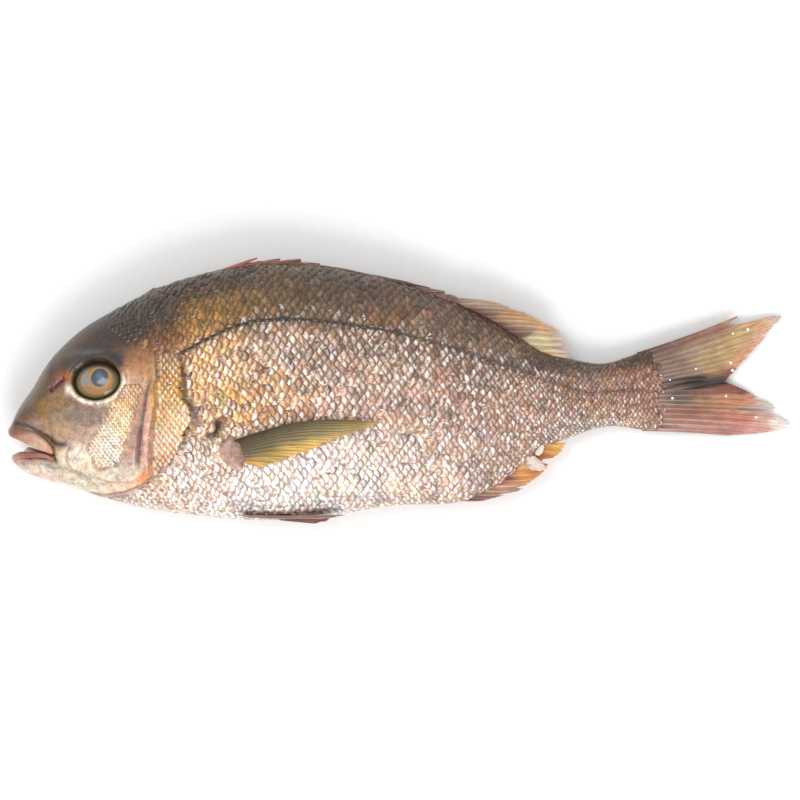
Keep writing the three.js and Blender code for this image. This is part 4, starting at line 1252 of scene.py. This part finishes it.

# --- Tail fin ---------------------------------------------------------------------------------------
# Rays fan from the root of the tail into two lobes, with a pleat of web between them, painted dark as
# the shade where the upper lobe lies over the lower. A bite is gone from the upper edge with one ray
# left over it, and the lower lobe is split near its tip.

# The darkest browns near y 1 to 4 between x 258 and 278 are painted shadow where the upper lobe lies over the
# lower.
TAIL_PAINT = [
    (243, 15, 6, 2.2, "#5c4238"), (252, 16.4, 6, 1.8, "#6f4a40"), (262, 19.4, 6, 2, "#8a5c48"),
    (272, 22.4, 5, 2, "#966650"), (281, 26.2, 4, 1.4, "#a88460"), (247, 9, 5, 4, "#866254"),
    (247, 2, 5, 4, "#9c7870"), (246, -6, 5, 4, "#a87a66"), (246, -13, 5, 3, "#a0706a"),
    (256, 12.4, 5, 2.4, "#84604c"), (264, 14.6, 5, 2.2, "#a08264"), (273, 17.8, 5, 2.2, "#a9835a"),
    (260, 7.6, 5, 2.4, "#8c6c5c"), (268, 9.6, 5, 2, "#a88c58"), (277, 13.6, 5, 2.2, "#b4945a"),
    (284, 19.4, 4, 2.2, "#bb9a5e"), (291, 22.8, 4, 2, "#c89460"), (296.6, 24.4, 2.6, 1.6, "#cdb09c"),
    (292, 19.4, 3, 2, "#dba68c"), (286.5, 14.4, 3, 2, "#cf8e68"), (281.5, 10, 3, 1.8, "#c98c58"),
    (274, 6.6, 4, 1.3, "#a87a48"), (278, 5.4, 3, 1, "#7a4028"), (270, 4.2, 6, 1.0, "#5c4434"),
    (258, 2.6, 5, 2, "#665344"), (266, 1.2, 5, 1.2, "#3c2c26"), (273, 2.6, 4, 0.9, "#3a2420"),
    (259, -2.4, 5, 2, "#6e5844"), (269, -1.6, 5, 1.2, "#8c5a44"), (277, -1.0, 4, 0.9, "#8a4634"),
    (283, -2.4, 3, 0.9, "#7c4436"), (270, -4.6, 5, 1.6, "#a6784e"), (279, -4.6, 5, 1.6, "#c87c56"),
    (287, -5, 3, 1.4, "#c8846a"), (292.4, -7.8, 3, 1.4, "#c6bcb0"), (264, -8.6, 6, 2, "#94604a"),
    (277, -8.4, 6, 1.6, "#bc7c58"), (285, -9.2, 4, 1, "#cc9c84"), (266, -13, 8, 2.2, "#ac705c"),
    (282, -13.2, 6, 1.8, "#c2745e"), (290, -13.6, 3, 1.6, "#d4a090"), (296, -15, 3, 1.6, "#dbcfc4"),
    (272, -17, 8, 1.2, "#a06654"), (255, -15, 5, 2, "#9c6e64"), (288, -17, 4, 1.2, "#c8887a"),
]
UPPER_LOBE = [
    (0, (243, 15.6, 6.8), (284, 27.4, 2.0)), (0.05, (243, 14.6, 6.8), (284.5, 26.6, 2.0)),
    (0.12, (243, 13.4, 6.8), (290, 26.4, 1.9)), (0.2, (243, 12, 6.8), (300.4, 26.4, 1.7)),
    (0.3, (243, 10.4, 6.8), (298.6, 23.2, 1.6)), (0.5, (243, 7.2, 6.8), (291.4, 15.6, 1.6)),
    (0.75, (243, 4, 6.8), (284, 8.6, 1.9)), (1, (243, 0.6, 6.8), (277, 1.9, 2.4)),
]
LOWER_LOBE = [
    (0, (243, 2.6, 6.4), (275.4, 2.8, 1.0)), (0.16, (243, 0.4, 6.4), (285, -1.9, 1.0)),
    (0.38, (243, -3, 6.4), (296, -9.2, 0.9)), (0.56, (243, -6, 6.4), (296.5, -12.2, 0.9)),
    (0.72, (243, -9, 6.4), (302, -17, 0.8)), (0.86, (243, -11.6, 6.4), (294, -19, 0.9)),
    (1, (243, -14.8, 6.4), (277, -19, 1.4)),
]


TAIL_START, TAIL_REACH = 243, 52  # where the tail's rays start, and how far the droop goes on
TAIL_ARCH = 1.5


def droop(x, y):
    """The tail hangs from the height of its root towards the slab in a slight curve, not a straight line."""
    t = np.clip((x - TAIL_START) / TAIL_REACH, 0, 1)
    return TAIL_ARCH * np.sin(np.pi * t) + 0 * y


fan(
    "tail_upper_lobe", UPPER_LOBE, 10, "tail_fin", "tail_fin", TAIL_PAINT, droop, bow=-0.9, split=0.25,
    cuts=[(0.085, 0.034, 0.13), (0.13, 0.03, 0.12), (0.4, 0.008, 0.05), (0.62, 0.01, 0.06)], fray=0.025,
    wave=0.5,
    bleached=0.24,
)
fan(
    "tail_lower_lobe", LOWER_LOBE, 10, "tail_fin", "tail_fin", TAIL_PAINT, droop, bow=0.7, split=0.25,
    cuts=[(0.27, 0.02, 0.07), (0.5, 0.04, 0.26)], fray=0.03, wave=0.4, bleached=0.24,
)


def fold():
    """The pleat of web between the lobes, painted dark as the shade where they overlap: a slim ridge that
    widens to the middle of the notch.
    """
    t = np.linspace(0, 1, 24)
    path = np.stack([252 + 23 * t, 0.6 + 1.9 * t, 6.6 - 4.2 * t + 1.6 * np.sin(np.pi * t)], -1)
    second = path + np.stack([0 * t, 2.4 - 0.2 * t, 0.3 + 0 * t], -1)
    radius = 0.25 + 0.9 * np.sin(np.pi * np.clip(t, 0.02, 0.94)) ** 0.8
    points, faces = tubes(np.stack([path, second]), np.stack([radius, 0.6 * radius]), 14, 0.5)
    # Painted shade: the pleat's browns, darkest in the middle of the notch.
    places = [(256, 1, 6, 2, "#5c4a3c"), (268, 2, 5, 2, "#3a2a24"), (276, 3, 4, 2, "#5a3226")]
    uv = stacked(np.arange(14) / 4, 25 * t[None, :, None] + 0 * points[..., 0])
    near = 0.3 + 0 * points[..., 0]
    piece("tail_fold", points, faces, FIN_WEB, "tail_fin", "tail_fin", paint=places, uv=uv, near=near)


fold()

# --- Side fins --------------------------------------------------------------------------------------
# Long pointed fins of soft rays behind the gill cover, on a fleshy root. The left one lies back along
# the flank and the right one is pressed under the body.

SIDE_PAINT = [
    (86, -5, 5, 3, "#4e3c30"), (96, -4.4, 6, 3, "#55482e"), (108, -2.2, 7, 3, "#5e5234"),
    (120, -1.2, 6, 2, "#6c5a36"), (132, -2.4, 6, 2, "#86703c"), (141, -4.6, 4, 1.6, "#c2a468"),
    (90, -11, 5, 3, "#5f5030"), (98, -10.4, 5, 2.6, "#5f5029"), (108, -7.6, 6, 2.2, "#6f5f33"),
    (120, -6, 6, 2, "#7a683a"), (132, -6, 5, 1.6, "#9c864e"), (92, -16.6, 5, 2.4, "#c08a3c"),
    (100, -14.6, 5, 2.4, "#a58530"), (109, -12, 5, 2, "#c49c48"), (118, -10, 5, 1.8, "#c8a052"),
    (126, -8.4, 4, 1.6, "#c49a58"), (86, -18, 4, 2, "#c08e70"),
]
SIDE_RAYS = [
    (0, (86, -7.2), (145.2, -4.6)), (0.2, (86, -8.4), (143.5, -5.3)), (0.4, (86, -9.8), (137, -6.8)),
    (0.6, (86, -11.4), (127, -9.4)), (0.8, (86, -13.2), (113, -14)), (1, (86, -15), (97, -18.6)),
]
ROOT_PAINT = [
    (84, -9, 4, 4, "#a8887c"), (89, -11, 3, 4, "#8c7268"), (84, -16, 4, 3, "#b4968a"),
    (80, -13, 3, 6, "#c8a698"),
]


def on_side(x, y):
    """Height of the left side fin: on the scales, standing off them a little more towards its tip."""
    return on_flank(x, y, 1.0 + 0.5 * step(x, 95, 140))[..., 2]


side_rays = [(s, (a, b, 0), (c, d, 0)) for s, (a, b), (c, d) in SIDE_RAYS]
fan(
    "left_side_fin", side_rays, 13, "side_fin", "left_pectoral_fin", SIDE_PAINT, on_side, bow=4.2, split=0.3,
    fray=0.06, thick=0.55,
)
under_rays = [(s, (a, b, 0.16), (c, d, 0.16)) for s, (a, b, _), (c, d, _) in side_rays]
fan(
    "right_side_fin", under_rays, 13, "side_fin", "right_pectoral_fin", SIDE_PAINT, bow=4.2, split=0.3,
    fray=0.06, thick=0.2,
)
root_at = on_flank(np.array([86.2]), np.array([-11.6]), 0.9)[0]
pad(
    "left_side_root", root_at, (6.6, 4.4, 1.7), -1.3, WET_SKIN, "side_fin", "left_pectoral_fin", ROOT_PAINT,
    -0.05,
)

# --- Water ------------------------------------------------------------------------------------------
# Beads of water and slime stand on the tail, 0.8 to 1.3 mm across. They are low domes, since
# the wet skin under them draws them flat. They are coloured a near white grey as painted glints.

BEADS = [
    (249, -3.4, 0.62), (255.5, -2.9, 0.55), (279.2, 9.2, 0.62), (279.6, 6.2, 0.6), (276.4, -3.6, 0.45),
    (265.4, 7.8, 0.45), (251.6, 6.2, 0.4), (255, 4.2, 0.4), (287.6, -12.6, 0.5), (286.8, 21.6, 0.66),
    (280.8, 20.4, 0.5),
]
BEAD_START, BEAD_FALL = 6.8, 5.4  # height of the tail's face at its root, and its fall to the tips


def beads():
    """Low domes of water, coloured a near white grey as painted glints: rings from the pole to the foot,
    closed underneath.
    """
    material, tree, place = new_material("water")
    # Painted glint: the beads take a near white grey, not the look of clear water.
    cloud = add(tree, "ShaderNodeTexNoise", Vector=place, Scale=spots(0.8), Detail=3.0)
    tone = add(tree, "ShaderNodeMapRange", Value=cloud, From_Min=0.3, From_Max=0.7, To_Min=0.86, To_Max=1.0)
    grey = add(tree, "ShaderNodeCombineColor", Red=tone, Green=tone, Blue=tone)
    surfaced(material, Base_Color=grey, Roughness=0.06, IOR=1.33, Coat_Weight=1.0, Coat_Roughness=0.02)
    x, y, size = np.array(BEADS).T
    t = np.clip((x - TAIL_START) / TAIL_REACH, 0, 1)
    z = BEAD_START - BEAD_FALL * t + droop(x, y) + 0.3
    rings, around = 8, 14
    down = np.linspace(0.05, np.pi - 0.05, rings)[:, None]
    turn = full_turn(around)
    ball = stacked(np.sin(down) * np.cos(turn), np.sin(down) * np.sin(turn), 0.6 * np.cos(down))
    points = np.stack([x, y, z], -1)[:, None, None] + ball[None] * size[:, None, None, None]
    faces = ring_faces(rings, around, len(x), turned_out=True)
    piece("water_beads", points, faces, material, "tail_fin", "tail_fin")


beads()

# --- Slab, light and camera -------------------------------------------------------------------------
# A pale matt slab under a wide soft light, with a broad softbox on the belly side, seen from straight
# above with the fish's axis turned a little up towards the tail.

VIEW_WIDTH = 306.6  # of what the lens takes in, at the height of the fish's middle
VIEW_HEIGHT = 1100  # of the camera over the fish's middle
VIEW_CENTRE = (150.4, 3.7, 16)
VIEW_TURN = 4  # degrees
SLAB_HALF = 1.5  # metres from the middle to an edge


def slab():
    """A matt, nearly white slab with a faint grain of 3 mm."""
    material, tree, place = new_material("matt_slab")
    grain = add(tree, "ShaderNodeTexNoise", Vector=place, Scale=spots(3), Detail=3.0)
    tone = add(tree, "ShaderNodeMapRange", Value=grain, To_Min=0.9, To_Max=0.94)
    grey = add(tree, "ShaderNodeCombineColor", Red=tone, Green=tone, Blue=tone)
    surfaced(material, Base_Color=grey, Roughness=0.9)
    mesh = bpy.data.meshes.new("slab")
    corners = [(SLAB_HALF * x, SLAB_HALF * y, 0) for x, y in ((-1, -1), (1, -1), (1, 1), (-1, 1))]
    mesh.from_pydata(corners, [], [(0, 1, 2, 3)])
    mesh.materials.append(material)
    made = bpy.data.objects.new("slab", mesh)
    bpy.context.scene.collection.objects.link(made)


def light(name, place, aim, size, power):
    """A square softbox at a place, in metres, that faces another place."""
    lamp = bpy.data.lights.new(name, "AREA")
    lamp.shape, lamp.size, lamp.energy = "SQUARE", size, power
    made = bpy.data.objects.new(name, lamp)
    made.location = place
    direction = np.array(aim, float) - place
    made.rotation_euler = Vector(direction).to_track_quat("-Z", "Y").to_euler()
    bpy.context.scene.collection.objects.link(made)


def camera():
    """A long lens straight above the fish, turned about its own axis."""
    lens = bpy.data.cameras.new("camera")
    lens.sensor_width = 36
    lens.lens = lens.sensor_width * VIEW_HEIGHT / VIEW_WIDTH
    made = bpy.data.objects.new("camera", lens)
    made.location = to_frame(VIEW_CENTRE) + [0, 0, VIEW_HEIGHT / 1000]
    made.rotation_euler = (0, 0, np.radians(-VIEW_TURN))
    bpy.context.scene.collection.objects.link(made)
    bpy.context.scene.camera = made


slab()
light("belly_softbox", (0.05, -0.75, 0.7), (0, 0, 0), 0.6, 6.5)
light("top_softbox", (-0.35, 0.25, 1.0), (0, 0, 0), 0.4, 3)
camera()
world = bpy.data.worlds.new("studio")
bpy.context.scene.world = world
world.use_nodes = True
world.node_tree.nodes["Background"].inputs["Color"].default_value = (1, 1, 1, 1)
world.node_tree.nodes["Background"].inputs["Strength"].default_value = 0.74
bpy.context.scene.view_settings.view_transform = "Standard"
